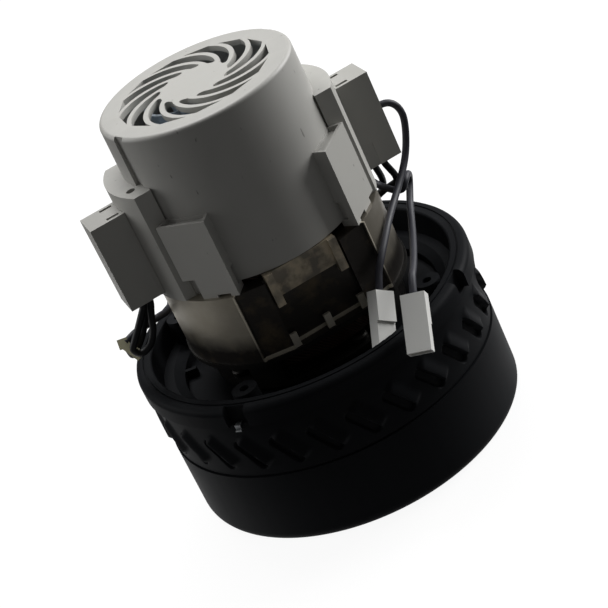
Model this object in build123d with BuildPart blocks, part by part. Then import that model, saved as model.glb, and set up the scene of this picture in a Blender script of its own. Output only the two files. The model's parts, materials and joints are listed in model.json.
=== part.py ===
# Two-stage bypass vacuum motor unit: an open commutator motor standing on a two-stage centrifugal fan.
# Lengths are in millimetres. +Z runs from the fan's inlet up to the cooling grille, +X along the brushes.
# The origin is on the motor's axis, at the bottom face of the fan drum.

import os
from math import cos, degrees, pi, radians, sin, sqrt, tan

from build123d import *

os.makedirs("parts", exist_ok=True)

# Clearances that many pieces share
cut_overrun = 2.0
fit_gap = 0.1
face_gap = 0.3

# Fan drum with its inlet
drum_radius = 72.5
drum_height = 34.5
drum_wall = 2.2
drum_floor = 2.4
drum_edge_radius = 5.0
spigot_wall = 1.8
spigot_height = 3.5
shoulder_width = 2.0
shoulder_height = 3.0
shoulder_drop = 3.5
inlet_radius = 19.5
inlet_lip_wall = 1.6
inlet_lip_height = 4.6
inlet_recess_radius = 33.0
inlet_recess_depth = 1.0

# Exhaust band with its louvres
band_height = 26.5
band_step = 0.6
band_chamfer = 0.6
louvre_count = 28
louvre_width = 3.8
louvre_drop = 13.0
louvre_shift = 9.5
louvre_middle = 11.0
louvre_start_angle = -34.5
hood_height = 1.3
hood_run = 5.6
hood_depth = 1.5
hood_end = 0.8

# Upper housing: lip ring, well and bosses
lip_overhang = 1.7
lip_width = 7.8
lip_height = 8.5
lip_round = 3.0
lip_inner_round = 1.0
lip_groove_inset = 4.3
lip_groove_width = 0.9
lip_groove_depth = 0.6
lip_notch_width = 9.5
housing_wall = 2.0
well_wall_lean = 0.9
well_ledge_drop = 2.7
well_ledge_width = 4.5
well_slope_width = 4.0
well_slope_drop = 2.5
pit_depth = 3.8
well_floor_thickness = 2.2
boss_inset = 5.5
boss_radius = 5.35
boss_hole_radius = 2.0
boss_hole_depth = 12.0
boss_count = 4
boss_start_angle = 45.0
pit_rib_count = 8
pit_rib_width = 2.0
pit_rib_length = 5.0
pit_rib_start_angle = 22.5
clip_width = 2.6
clip_thickness = 0.7
clip_height = 1.9
clip_reach = 1.9
clip_angles = (-135.8, 44.2)

# Drive bracket between the fan and the stator
floor_boss_height = 4.0
bracket_sheet = 2.0
bracket_base_inset = 5.6
bracket_leg_width = 15.0
bracket_cup_wall = 2.0
bracket_cup_height = 8.4
bracket_hole_radius = 9.0
bracket_screw_inset = 6.0
bracket_screw_start_angle = -75.5
bracket_screw_count = 4
bracket_screw_radius = 2.0
bracket_screw_head_radius = 3.9
bracket_screw_head_height = 2.6
bracket_screw_length = 5.2
bracket_screw_driver_radius = 1.6
bracket_screw_driver_depth = 1.4
floor_boss_radius = 4.4
rim_margin = 0.8
rim_width = 9.0
rim_recess_margin = 4.6
prong_width = 3.0
prong_thickness = 1.6
prong_height = 6.4
prong_places_share = (-0.455, 0.0, 0.455)

# Stator laminations
bracket_height = 16.7
stator_height = 31.3
stator_radius = 48.2
stator_seam_angle = 52.5
stator_seam_radius = 0.8
stator_facet_x = 17.0
stator_facet_inset = 6.0
stator_recess_depth = 3.6
stator_bore_radius = 22.6
stator_shoe_thickness = 4.0
stator_pole_half_width = 15.4
stator_back_width = 9.2
stator_window_half_angle = 31.0
clamp_screw_inset = 5.4
clamp_screw_y = 11.5
clamp_screw_radius = 2.0
clamp_screw_depth = 15.0
clamp_screw_head_radius = 3.6
clamp_screw_head_height = 2.8

# Field coils and their formers
coil_inner_gap = 0.8
coil_outer_gap = 0.8
coil_foot_y = 4.0
coil_end_height = 11.0
coil_round = 2.4
coil_round_share = 0.4
former_sheet = 1.0
former_tongue_half_width = 12.6
former_tongue_depth = 2.3
former_tongue_drop = 8.5
former_rise = 2.6
former_pillar_width = 3.4
former_pillar_depth = 3.9
former_pillar_drop = 12.0

# Motor cover
cover_lift = 3.0
cover_height = 67.6
cover_inset = 6.5
cover_draft = 0.8
cover_wall = 2.2
cover_top_wall = 2.4
cover_round = 1.8
grille_count = 13
grille_inner_radius = 14.5
grille_margin = 8.9
grille_turn = 59.0
grille_rib = 2.0
grille_start_angle = 37.4
grille_inner_round = 1.1
grille_outer_round = 1.6
groove_width = 5.5
groove_depth = 1.3
groove_angle = 18.5
tower_height = 45.5
tower_root_depth = 4.7
tower_front_margin = 1.4
tower_bulge = 5.2
tower_half_width = 20.2
tower_hole_radius = 1.9
foot_near_angle = 28.1
foot_far_angle = 55.5
foot_inset = 0.3
foot_root_depth = 1.3
foot_height = 31.4
foot_rim = 1.2
foot_top_recess = 1.4
foot_notch_width = 5.6
foot_notch_height = 9.2
foot_notch_depth = 4.2
foot_slit_height = 2.2
foot_slot_width = 6.2
foot_slot_height = 1.3
foot_slot_depth = 3.0
foot_side_slot_width = 2.6
foot_side_slot_height = 8.0
bridge_height = 10.0
bridge_drop = 25.0
bridge_arm_width = 5.0
bridge_arm_height = 8.0
bridge_arm_count = 4
bridge_arm_start_angle = 45.0
bridge_seat_wall = 2.8
bridge_hole_radius = 7.5

# Bearings: bore radius, outer radius, width
upper_bore_radius = 4.0
upper_outer_radius = 11.0
upper_width = 7.0
upper_ball_count = 7
lower_bore_radius = 5.0
lower_outer_radius = 13.0
lower_width = 8.0
lower_ball_count = 8
race_share = 0.26
ball_share = 0.27
ball_gap = 0.1
cage_width_share = 0.1
cage_height_share = 0.24
shield_thickness = 0.4
shield_gap = 0.3
washer_thickness = 0.4
washer_width = 1.8

# Brush gear
brush_lift = 19.0
brush_half_width = 5.5
brush_half_thickness = 3.2
brush_length = 20.0
brush_gap = 0.1
brush_face_gap = 0.05
holder_wall = 0.8
holder_start_x = 16.5
holder_plate_gap = 1.4
brush_cap_thickness = 2.0
brush_tab_length = 2.9
brush_tab_half_width = 3.1
brush_tab_half_thickness = 0.4
brush_spring_radius = 2.6
brush_spring_wire = 0.3
brush_spring_turns = 6

# Choke boxes on the towers
box_plate_reach = 4.4
box_plate_thickness = 1.6
box_depth = 13.6
box_half_width = 7.7
box_shift_y = 1.3
box_drop = 0.5
box_height = 38.4
box_wall = 1.5
box_slot_length = 5.3
box_slot_width = 1.8
box_slot_spread = 5.2
box_slot_inset = 0.2
box_step_width = 4.0
box_step_height = 10.5
box_step_depth = 0.25
choke_core_radius = 3.0
choke_coil_radius = 5.3
choke_coil_share = 0.72

# Rotor
shaft_thread_radius = 4.0
shaft_fan_radius = 5.0
shaft_core_radius = 6.5
shaft_commutator_radius = 6.0
shaft_inlet_gap = 1.0
shaft_thread_length = 9.5
shaft_core_over = 8.0
shaft_top_drop = 9.0
armature_gap = 0.4
armature_slot_count = 12
armature_slot_width = 4.4
armature_slot_floor_radius = 12.0
armature_slot_top_radius = 20.4
armature_slot_mouth = 2.2
winding_slot_gap = 0.3
winding_slot_top_gap = 0.7
winding_inner_radius = 7.6
winding_outer_radius = 20.0
winding_round = 2.2
winding_lower_height = 5.0
winding_upper_height = 7.0
commutator_radius = 12.5
commutator_bore_radius = 8.6
commutator_lift = 9.5
commutator_length = 21.5
commutator_riser_radius = 14.6
commutator_riser_height = 2.4
commutator_bar_count = 24
commutator_groove_width = 0.6
commutator_groove_depth = 1.2
commutator_hub_overhang = 1.0

# Cooling fan under the grille
cooler_tip_gap = 5.7
cooler_bridge_gap = 2.4
cooler_disc_thickness = 1.6
cooler_blade_height = 13.0
cooler_blade_count = 12
cooler_blade_thickness = 1.4
cooler_blade_root_radius = 11.0
cooler_blade_bend = 5.0
cooler_hub_radius = 9.0
cooler_hub_height = 9.0
cooler_sleeve_radius = 5.8
cooler_nut_radius = 6.5
cooler_nut_height = 4.0
cooler_nut_round = 1.2

# Fan impellers and the return plate
impeller_tip_gap = 10.3
impeller_sheet = 1.2
impeller_eye_gap = 0.5
impeller_blade_count = 7
impeller_blade_thickness = 1.2
impeller_blade_root_radius = 26.0
impeller_blade_bend_share = 0.22
impeller_blade_sweep = 55.0
inlet_lap = 1.0
first_impeller_width = 14.0
second_impeller_width = 12.2
impeller_floor_gap = 1.6
impeller_washer_radius = 14.0
impeller_washer_thickness = 2.5
spacer_radius = 8.0
bearing_spacer_radius = 7.5
shaft_nut_across_flats = 13.0
shaft_nut_height = 6.5
return_tip_gap = 8.3
stage_gap = 2.0
return_sheet = 1.2
return_plate_sheet = 1.6
return_hole_radius = 10.0
return_eye_radius = 20.0
return_collar_wall = 1.2
return_collar_height = 3.6
return_vane_count = 10
return_vane_thickness = 1.2
return_vane_root_radius = 27.0
return_vane_sweep = 40.0

# Leads, jumper wires and what is on them
lead_diameter = 3.0
jumper_diameter = 2.9
wire_exit_lift = 0.8
lead_exit_lift = 19.7
lead_exit_length = 3.8
wire_exit_length = 6.3
terminal_width = 9.8
terminal_depth = 4.2
terminal_length = 23.6
terminal_wall = 0.9
terminal_entry_length = 6.0
terminal_lead_in = 6.0
terminal_step_length = 12.2
terminal_step_height = 1.0
receptacle_depth = 2.0
receptacle_length = 9.0
receptacle_sheet = 0.45
receptacle_barrel_radius = 1.1
receptacle_barrel_length = 6.0
connector_block = 4.2
connector_depth = 4.6
connector_tail_length = 9.0
connector_tail_width = 3.9
connector_tail_angle = -56.7

# Places and leans of the terminal housings and of the connector
terminal_one_top = (21.3, -49.1, 79.3)
terminal_one_toward = (-0.440, -0.526, -0.728)
terminal_one_across = (0.730, 0.334, -0.596)
terminal_two_top = (29.0, -67.1, 80.5)
terminal_two_toward = (-0.435, -0.613, -0.659)
terminal_two_across = (0.840, -0.540, -0.053)
connector_middle = (-71.7, 3.3, 90.4)
connector_toward = (-0.164, -0.875, 0.456)
connector_across = (0.969, -0.228, -0.089)

# Routes of the wires between the ends that the pieces give them
lead_one_route = (
    (71.4, 1.2, 123.4),
    (72.9, 1.0, 118.4),
    (71.9, 0.9, 113.0),
    (69.3, 0.3, 106.6),
    (65.7, -1.6, 101.4),
    (60.3, -5.9, 97.6),
    (54.2, -11.5, 95.0),
    (48.0, -18.7, 93.6),
    (41.7, -27.8, 93.4),
    (35.7, -35.8, 91.8),
    (29.0, -43.0, 88.6),
)
lead_two_route = (
    (45.6, 22.4, 106.0),
    (48.9, 16.0, 100.2),
    (52.0, 9.0, 93.7),
    (52.6, 3.5, 93.5),
    (54.0, -0.5, 92.6),
    (55.9, -4.0, 91.7),
    (58.1, -6.8, 91.8),
    (60.5, -6.4, 94.7),
    (63.3, -2.6, 95.0),
    (65.5, 2.2, 92.5),
    (64.8, 3.6, 88.6),
    (62.2, 0.5, 85.7),
    (58.3, -5.5, 83.0),
    (53.4, -16.0, 81.6),
    (47.4, -30.0, 81.8),
    (41.3, -44.0, 82.9),
    (36.2, -55.2, 84.0),
)
loop_wire_right_ends = ((57.0, 0.0), (53.6, 3.5))
loop_wire_right_route = (
    (58.3, 0.5, 99.7),
    (59.8, 1.5, 95.3),
    (60.1, 4.0, 91.3),
    (57.7, 6.0, 90.1),
    (53.8, 8.0, 88.7),
    (50.7, 10.0, 86.6),
    (49.8, 14.0, 84.3),
    (52.0, 18.5, 82.4),
    (55.6, 18.5, 83.6),
    (56.7, 14.0, 88.0),
    (55.9, 8.0, 94.5),
)
loop_wire_left_ends = ((-57.9, -2.8), (-54.6, -2.6))
loop_wire_left_route = (
    (-60.6, -3.3, 100.6),
    (-64.4, -3.9, 96.4),
    (-68.0, -4.4, 92.6),
    (-70.6, -4.4, 89.6),
    (-68.4, -4.4, 85.9),
    (-64.0, -4.4, 86.8),
    (-61.0, -4.0, 89.5),
    (-58.4, -3.5, 94.1),
    (-56.9, -3.0, 99.0),
)
drop_wire_left_end = (-55.6, 1.6)
drop_wire_left_route = (
    (-58.0, 1.3, 98.8),
    (-60.4, 1.3, 94.8),
    (-63.1, 1.7, 90.7),
    (-66.4, 3.4, 86.4),
    (-68.9, 6.2, 83.1),
    (-70.4, 8.7, 80.7),
    (-70.3, 12.4, 82.9),
    (-71.4, 10.2, 87.0),
    (-71.9, 4.4, 89.8),
)
field_wire_left_route = (
    (-42.2, 30.2, 103.6),
    (-41.0, 30.9, 95.2),
    (-42.3, 28.6, 87.4),
    (-45.4, 23.4, 84.4),
    (-48.6, 17.4, 86.2),
    (-53.3, 13.5, 88.0),
    (-58.1, 11.0, 88.7),
    (-62.2, 8.0, 90.0),
    (-65.4, 4.8, 91.3),
    (-67.8, 2.6, 91.7),
    (-70.8, 2.1, 90.9),
)
wire_drop = 3.0


# Places worked out from the sizes above
drum_inner_radius = drum_radius - drum_wall
spigot_radius = drum_inner_radius - fit_gap
spigot_inner_radius = spigot_radius - spigot_wall
shoulder_top = drum_height - shoulder_drop
shoulder_radius = spigot_inner_radius - shoulder_width
inlet_top = drum_floor + inlet_lip_height
band_radius = drum_radius - band_step
band_top = drum_height + band_height
lip_radius = drum_radius + lip_overhang
lip_inner_radius = lip_radius - lip_width
lip_groove_radius = lip_radius - lip_groove_inset
lip_top = band_top + lip_height
well_radius = lip_inner_radius - well_wall_lean
well_slope_radius = well_radius - well_ledge_width
pit_radius = well_slope_radius - well_slope_width
boss_circle_radius = well_radius - boss_inset
well_ledge_height = band_top - well_ledge_drop
pit_edge_height = well_ledge_height - well_slope_drop
well_floor_height = pit_edge_height - pit_depth
well_floor_bottom = well_floor_height - well_floor_thickness
bracket_base_height = well_floor_height + floor_boss_height
bracket_base_radius = stator_radius - bracket_base_inset
bracket_screw_circle = bracket_base_radius - bracket_screw_inset
rim_opening_radius = stator_radius - rim_width
bracket_base_top = bracket_base_height + bracket_sheet
stator_bottom = bracket_base_height + bracket_height
stator_top = stator_bottom + stator_height
stator_facet_y = stator_radius - stator_facet_inset
stator_recess_y = stator_facet_y - stator_recess_depth
stator_window_radius = stator_radius - stator_back_width
clamp_screw_x = stator_radius - clamp_screw_inset
bracket_rim_bottom = stator_bottom - bracket_sheet
stator_corner = (
    stator_radius * cos(radians(stator_seam_angle)),
    stator_radius * sin(radians(stator_seam_angle)),
)
shoe_radius = stator_bore_radius + stator_shoe_thickness
coil_inner_radius = shoe_radius + coil_inner_gap
coil_outer_radius = stator_window_radius - coil_outer_gap
coil_end_round = min(coil_round, coil_round_share * (coil_outer_radius - coil_inner_radius))
former_top = stator_top + former_rise
cover_bottom = stator_top + cover_lift
cover_top = cover_bottom + cover_height
cover_radius_low = stator_radius - cover_inset
cover_radius_high = cover_radius_low - cover_draft
grille_outer_radius = cover_radius_high - grille_margin
tower_top = cover_bottom + tower_height
tower_root_x = cover_radius_low - tower_root_depth
tower_front_x = clamp_screw_x + tower_front_margin
foot_radius = stator_radius - foot_inset
foot_root_radius = cover_radius_low - foot_root_depth
foot_top = cover_bottom + foot_height
foot_face_length = 2 * foot_radius * sin(radians((foot_far_angle - foot_near_angle) / 2))
foot_face_angle = (foot_far_angle + foot_near_angle) / 2
foot_face_distance = foot_radius * cos(radians((foot_far_angle - foot_near_angle) / 2))
bridge_top = cover_top - bridge_drop
bridge_bottom = bridge_top - bridge_height
lower_bearing_bottom = bracket_base_top
lower_bearing_top = lower_bearing_bottom + lower_width
upper_bearing_top = bridge_top - bridge_seat_wall + fit_gap - washer_thickness - fit_gap
upper_bearing_bottom = upper_bearing_top - upper_width
brush_height = cover_bottom + brush_lift
box_plate_x = tower_front_x + box_plate_reach
holder_end_x = box_plate_x - holder_plate_gap
box_bottom = cover_bottom - box_drop
box_top = box_bottom + box_height
brush_tail_x = commutator_radius + brush_face_gap + brush_length
holder_cap_x = holder_end_x - brush_cap_thickness
box_body_x = box_plate_x + box_plate_thickness
box_end_x = box_body_x + box_depth
box_cavity_bottom = box_bottom + box_wall
box_cavity_top = box_top - box_wall
armature_radius = stator_bore_radius - armature_gap
shaft_bottom = inlet_top + shaft_inlet_gap
shaft_thread_top = shaft_bottom + shaft_thread_length
shaft_core_top = stator_top + shaft_core_over
shaft_top = cover_top - shaft_top_drop
commutator_bottom = stator_top + commutator_lift
commutator_top = commutator_bottom + commutator_length
cooler_radius = cover_radius_high - cover_wall - cooler_tip_gap
cooler_disc_bottom = bridge_top + cooler_bridge_gap
cooler_hub_top = cooler_disc_bottom + cooler_hub_height
impeller_radius = drum_inner_radius - impeller_tip_gap
return_disc_radius = drum_inner_radius - return_tip_gap
first_impeller_bottom = inlet_top - inlet_lap
first_impeller_top = first_impeller_bottom + first_impeller_width
return_disc_bottom = first_impeller_top + stage_gap
second_impeller_top = well_floor_bottom - impeller_floor_gap
second_impeller_bottom = second_impeller_top - second_impeller_width
wire_exit_height = cover_bottom + wire_exit_lift
lead_exit_height = box_bottom + lead_exit_lift


# The point of a circle about the axis, at an angle in degrees
def polar(radius, angle):
    return (radius * cos(radians(angle)), radius * sin(radians(angle)))


# The corner of a sketch that is nearest to a point of it
def corner(sketch, across, up):
    return sketch.vertices().sort_by_distance((across, up, 0))[0]


# Radii of the arcs of a wire: 0.45 of the shorter run beside each point, over the tangent of half the turn
def bend_radii(points):
    arc_share = 0.45
    places = [Vector(*point) for point in points]
    radii = []
    for before, here, after in zip(places, places[1:], places[2:]):
        into = here - before
        out = after - here
        half_turn = radians(into.get_angle(out)) / 2
        radii.append(arc_share * min(into.length, out.length) / tan(half_turn))
    return radii


# A plane at a point, whose normal leans along one direction and whose X runs close to another
def lean_plane(point, along, across):
    normal = Vector(*along).normalized()
    side = Vector(*across)
    side = (side - normal * side.dot(normal)).normalized()
    return Plane(origin=point, x_dir=side, z_dir=normal)


# Fan drum: floor with the inlet, smooth outer wall, shoulder and spigot for the pieces above it
with BuildPart() as lower_drum:
    with BuildSketch(Plane.XZ) as drum_section:
        with BuildLine():
            Polyline(
                (inlet_radius, inlet_recess_depth),
                (inlet_recess_radius, inlet_recess_depth),
                (inlet_recess_radius + inlet_recess_depth, 0),
                (drum_radius, 0),
                (drum_radius, drum_height),
                (spigot_radius, drum_height),
                (spigot_radius, drum_height + spigot_height),
                (spigot_inner_radius, drum_height + spigot_height),
                (spigot_inner_radius, shoulder_top),
                (shoulder_radius, shoulder_top),
                (shoulder_radius, shoulder_top - shoulder_height),
                (drum_inner_radius, shoulder_top - shoulder_height - shoulder_width - spigot_wall),
                (drum_inner_radius, drum_floor),
                (inlet_radius + inlet_lip_wall, drum_floor),
                (inlet_radius + inlet_lip_wall, drum_floor + inlet_lip_height),
                (inlet_radius, drum_floor + inlet_lip_height),
                close=True,
            )
        make_face()
        fillet(corner(drum_section, drum_radius, 0), drum_edge_radius)
        fillet(corner(drum_section, drum_inner_radius, drum_floor), drum_edge_radius - drum_wall)
        fillet(corner(drum_section, inlet_radius, inlet_recess_depth), inlet_lip_wall)
    revolve(axis=Axis.Z)
lower_drum.part.label = "lower_drum"
export_step(lower_drum.part, "parts/lower_drum.step")

# Exhaust band: a ring with slanted slots, each under a raised hood
louvre_length = sqrt(louvre_drop**2 + louvre_shift**2)
with BuildPart() as exhaust_band:
    with BuildSketch(Plane.XZ):
        with BuildLine():
            Polyline(
                (drum_inner_radius, drum_height),
                (band_radius - band_chamfer, drum_height),
                (band_radius, drum_height + band_chamfer),
                (band_radius, band_top),
                (drum_inner_radius, band_top),
                close=True,
            )
        make_face()
    revolve(axis=Axis.Z)
    for louvre in range(louvre_count):
        louvre_angle = louvre_start_angle + louvre * 360 / louvre_count
        outward = Vector(*polar(1, louvre_angle), 0)
        around = Vector(*polar(1, louvre_angle + 90), 0)
        slant = (around * louvre_shift - Vector(0, 0, louvre_drop)) / louvre_length
        middle = outward * drum_radius + Vector(0, 0, drum_height + louvre_middle)
        hood_start = middle - slant * (louvre_length / 2 + hood_end)
        with BuildSketch(Plane(origin=hood_start, x_dir=outward.cross(slant), z_dir=slant)):
            with BuildLine():
                Polyline(
                    (louvre_width / 2, hood_height),
                    (louvre_width / 2, -hood_depth),
                    (louvre_width / 2 + hood_run, -hood_depth),
                    (louvre_width / 2 + hood_run, -hood_height / 2),
                    close=True,
                )
            make_face()
        extrude(amount=louvre_length + 2 * hood_end)
        cut_start = middle - outward * (drum_wall + cut_overrun)
        with BuildSketch(Plane(origin=cut_start, x_dir=slant, z_dir=outward)):
            SlotOverall(louvre_length, louvre_width)
        extrude(amount=drum_wall + hood_height + 2 * cut_overrun, mode=Mode.SUBTRACT)
exhaust_band.part.label = "exhaust_band"
export_step(exhaust_band.part, "parts/exhaust_band.step")

# Upper housing: lip ring, the well round the stator, its floor and the bosses that mount the unit
with BuildPart() as upper_housing:
    with BuildSketch(Plane.XZ) as housing_section:
        with BuildLine():
            Polyline(
                (spigot_radius, band_top - spigot_height),
                (spigot_radius, band_top),
                (lip_radius, band_top),
                (lip_radius, lip_top),
                (lip_inner_radius, lip_top),
                (well_radius, well_ledge_height),
                (well_slope_radius, well_ledge_height),
                (pit_radius, pit_edge_height),
                (pit_radius, well_floor_height),
                (bracket_hole_radius, well_floor_height),
                (bracket_hole_radius, well_floor_bottom),
                (pit_radius + housing_wall, well_floor_bottom),
                (pit_radius + housing_wall, pit_edge_height - housing_wall),
                (well_slope_radius, well_ledge_height - housing_wall),
                (spigot_inner_radius, well_ledge_height - housing_wall),
                close=True,
            )
        make_face()
        fillet(corner(housing_section, lip_radius, lip_top), lip_round)
        fillet(corner(housing_section, lip_inner_radius, lip_top), lip_inner_round)
    revolve(axis=Axis.Z)
    with BuildSketch(Plane.XY.offset(lip_top)):
        Circle(lip_groove_radius + lip_groove_width / 2)
        Circle(lip_groove_radius - lip_groove_width / 2, mode=Mode.SUBTRACT)
    extrude(amount=-lip_groove_depth, mode=Mode.SUBTRACT)
    with BuildSketch(Plane.XY.offset(band_top)):
        with PolarLocations(lip_groove_radius, boss_count, start_angle=boss_start_angle):
            Rectangle(lip_radius, lip_notch_width, align=(Align.MIN, Align.CENTER))
        Circle(lip_groove_radius + lip_groove_width / 2, mode=Mode.SUBTRACT)
    extrude(amount=lip_top, mode=Mode.SUBTRACT)
    with BuildSketch(Plane.XY.offset(well_floor_height - well_floor_thickness / 2)):
        with PolarLocations(boss_circle_radius, boss_count, start_angle=boss_start_angle):
            Circle(boss_radius)
    extrude(amount=lip_top - well_floor_height + well_floor_thickness / 2)
    with BuildSketch(Plane.XY.offset(well_floor_height - well_floor_thickness / 2)):
        with PolarLocations(bracket_screw_circle, bracket_screw_count, start_angle=bracket_screw_start_angle):
            Circle(floor_boss_radius)
    extrude(amount=bracket_base_height - well_floor_height + well_floor_thickness / 2)
    with BuildSketch(Plane.XY.offset(well_floor_height)):
        with PolarLocations(pit_radius - pit_rib_length, pit_rib_count, start_angle=pit_rib_start_angle):
            Rectangle(pit_rib_length + housing_wall / 2, pit_rib_width, align=(Align.MIN, Align.CENTER))
    extrude(amount=pit_edge_height - well_floor_height)
    with BuildSketch(Plane.XY.offset(lip_top)):
        with PolarLocations(boss_circle_radius, boss_count, start_angle=boss_start_angle):
            Circle(boss_hole_radius)
    extrude(amount=-boss_hole_depth, mode=Mode.SUBTRACT)
    with BuildSketch(Plane.XY.offset(bracket_base_height)):
        with PolarLocations(bracket_screw_circle, bracket_screw_count, start_angle=bracket_screw_start_angle):
            Circle(bracket_screw_radius)
    extrude(amount=-bracket_screw_length + bracket_sheet, mode=Mode.SUBTRACT)
upper_housing.part.label = "upper_housing"
export_step(upper_housing.part, "parts/upper_housing.step")

# Spring clips that hold the upper housing on the band, in two of the lip's notches
with BuildPart() as case_clips:
    for clip_angle in clip_angles:
        clip_plane = Plane(
            origin=(*polar(drum_radius, clip_angle), band_top),
            x_dir=(*polar(1, clip_angle), 0),
            z_dir=(*polar(1, clip_angle - 90), 0),
        )
        with BuildSketch(clip_plane.offset(-clip_width / 2)):
            with BuildLine():
                Polyline(
                    (-clip_reach, 0),
                    (face_gap, 0),
                    (face_gap, -clip_height),
                    (face_gap + clip_thickness * 2, -clip_height),
                    (face_gap + clip_thickness * 2, -clip_height + clip_thickness),
                    (face_gap + clip_thickness, -clip_height + clip_thickness),
                    (face_gap + clip_thickness, clip_thickness),
                    (-clip_reach, clip_thickness),
                    close=True,
                )
            make_face()
        extrude(amount=clip_width)
case_clips.part.label = "case_clips"
export_step(case_clips.part, "parts/case_clips.step")


# Outline of the stator laminations and of the bracket's rim under them, grown by a margin
def stator_outline(margin, recess_margin):
    corner_x, corner_y = stator_corner
    side_x = corner_x + margin / 2
    side_y = corner_y + margin
    facet_y = stator_facet_y + margin
    recess_y = stator_recess_y + recess_margin
    ThreePointArc((side_x, -side_y), (stator_radius + margin, 0), (side_x, side_y))
    ThreePointArc((-side_x, side_y), (-stator_radius - margin, 0), (-side_x, -side_y))
    for way in (1, -1):
        Polyline(
            (way * side_x, way * side_y),
            (way * stator_facet_x, way * facet_y),
            (way * stator_facet_x, way * recess_y),
            (-way * stator_facet_x, way * recess_y),
            (-way * stator_facet_x, way * facet_y),
            (-way * side_x, way * side_y),
        )


# Places of the two long screws that clamp the cover and the stator to the bracket
clamp_screw_places = ((clamp_screw_x, clamp_screw_y), (-clamp_screw_x, -clamp_screw_y))

# Drive bracket: pressed base with the bearing cup, four legs, and the rim that carries the stator
with BuildPart() as drive_bracket:
    with BuildSketch(Plane.XY.offset(bracket_base_height)):
        Circle(bracket_base_radius)
        Circle(bracket_hole_radius, mode=Mode.SUBTRACT)
        with PolarLocations(bracket_screw_circle, bracket_screw_count, start_angle=bracket_screw_start_angle):
            Circle(bracket_screw_radius + fit_gap, mode=Mode.SUBTRACT)
    extrude(amount=bracket_sheet)
    with BuildSketch(Plane.XY.offset(bracket_base_top)):
        Circle(lower_outer_radius + fit_gap + bracket_cup_wall)
        Circle(lower_outer_radius + fit_gap, mode=Mode.SUBTRACT)
    extrude(amount=bracket_cup_height)
    with BuildSketch(Plane.XY.offset(bracket_base_top)):
        with PolarLocations(0, boss_count, start_angle=boss_start_angle):
            Rectangle(bracket_base_radius, bracket_leg_width, align=(Align.MIN, Align.CENTER))
        Circle(bracket_base_radius, mode=Mode.INTERSECT)
        Circle(bracket_base_radius - bracket_sheet, mode=Mode.SUBTRACT)
    extrude(amount=bracket_rim_bottom - bracket_base_top)
    with BuildSketch(Plane.XY.offset(bracket_rim_bottom)):
        with BuildLine():
            stator_outline(rim_margin, rim_recess_margin)
        make_face()
        Circle(rim_opening_radius, mode=Mode.SUBTRACT)
        with Locations(*clamp_screw_places):
            Circle(clamp_screw_radius + fit_gap, mode=Mode.SUBTRACT)
    extrude(amount=bracket_sheet)
    with BuildSketch(Plane.XY.offset(stator_bottom)):
        for way in (1, -1):
            for share in prong_places_share:
                prong_y = stator_recess_y + rim_recess_margin - prong_thickness
                with Locations((share * 2 * stator_facet_x, way * prong_y)):
                    Rectangle(prong_width, prong_thickness)
    extrude(amount=prong_height)
drive_bracket.part.label = "drive_bracket"
export_step(drive_bracket.part, "parts/drive_bracket.step")

# Screws that hold the bracket on the bosses of the well's floor
with BuildPart() as bracket_screws:
    with BuildSketch(Plane.XY.offset(bracket_base_top)):
        with PolarLocations(bracket_screw_circle, bracket_screw_count, start_angle=bracket_screw_start_angle):
            Circle(bracket_screw_head_radius)
    extrude(amount=bracket_screw_head_height)
    chamfer(bracket_screws.faces().group_by(Axis.Z)[-1].edges(), bracket_screw_head_height / 4)
    with BuildSketch(Plane.XY.offset(bracket_base_top)):
        with PolarLocations(bracket_screw_circle, bracket_screw_count, start_angle=bracket_screw_start_angle):
            Circle(bracket_screw_radius)
    extrude(amount=-bracket_screw_length + face_gap)
    with BuildSketch(Plane.XY.offset(bracket_base_top + bracket_screw_head_height)):
        with PolarLocations(bracket_screw_circle, bracket_screw_count, start_angle=bracket_screw_start_angle):
            RegularPolygon(bracket_screw_driver_radius, 6)
    extrude(amount=-bracket_screw_driver_depth, mode=Mode.SUBTRACT)
bracket_screws.part.label = "bracket_screws"
export_step(bracket_screws.part, "parts/bracket_screws.step")

# Stator: laminations with two poles, winding windows, weld seams and the holes of the clamp screws
with BuildPart() as stator_core:
    with BuildSketch(Plane.XY.offset(stator_bottom)):
        with BuildLine():
            stator_outline(0, 0)
        make_face()
        with Locations(*[(x * stator_corner[0], y * stator_corner[1]) for x in (1, -1) for y in (1, -1)]):
            Circle(stator_seam_radius)
        Circle(stator_bore_radius, mode=Mode.SUBTRACT)
        with Locations(*clamp_screw_places):
            Circle(clamp_screw_radius + face_gap, mode=Mode.SUBTRACT)
    extrude(amount=stator_top - stator_bottom)
    with BuildSketch(Plane.XY.offset(stator_bottom)):
        Circle(stator_window_radius)
        Circle(shoe_radius, mode=Mode.SUBTRACT)
        Rectangle(2 * stator_pole_half_width, 2 * stator_radius, mode=Mode.SUBTRACT)
    extrude(amount=stator_top - stator_bottom, mode=Mode.SUBTRACT)
    with BuildSketch(Plane.XY.offset(stator_bottom)):
        for way in (1, -1):
            with BuildLine():
                Polyline(
                    (0, 0),
                    (way * shoe_radius, -shoe_radius * tan(radians(stator_window_half_angle))),
                    (way * shoe_radius, shoe_radius * tan(radians(stator_window_half_angle))),
                    close=True,
                )
            make_face()
    extrude(amount=stator_top - stator_bottom, mode=Mode.SUBTRACT)
stator_core.part.label = "stator_core"
export_step(stator_core.part, "parts/stator_core.step")

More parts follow.
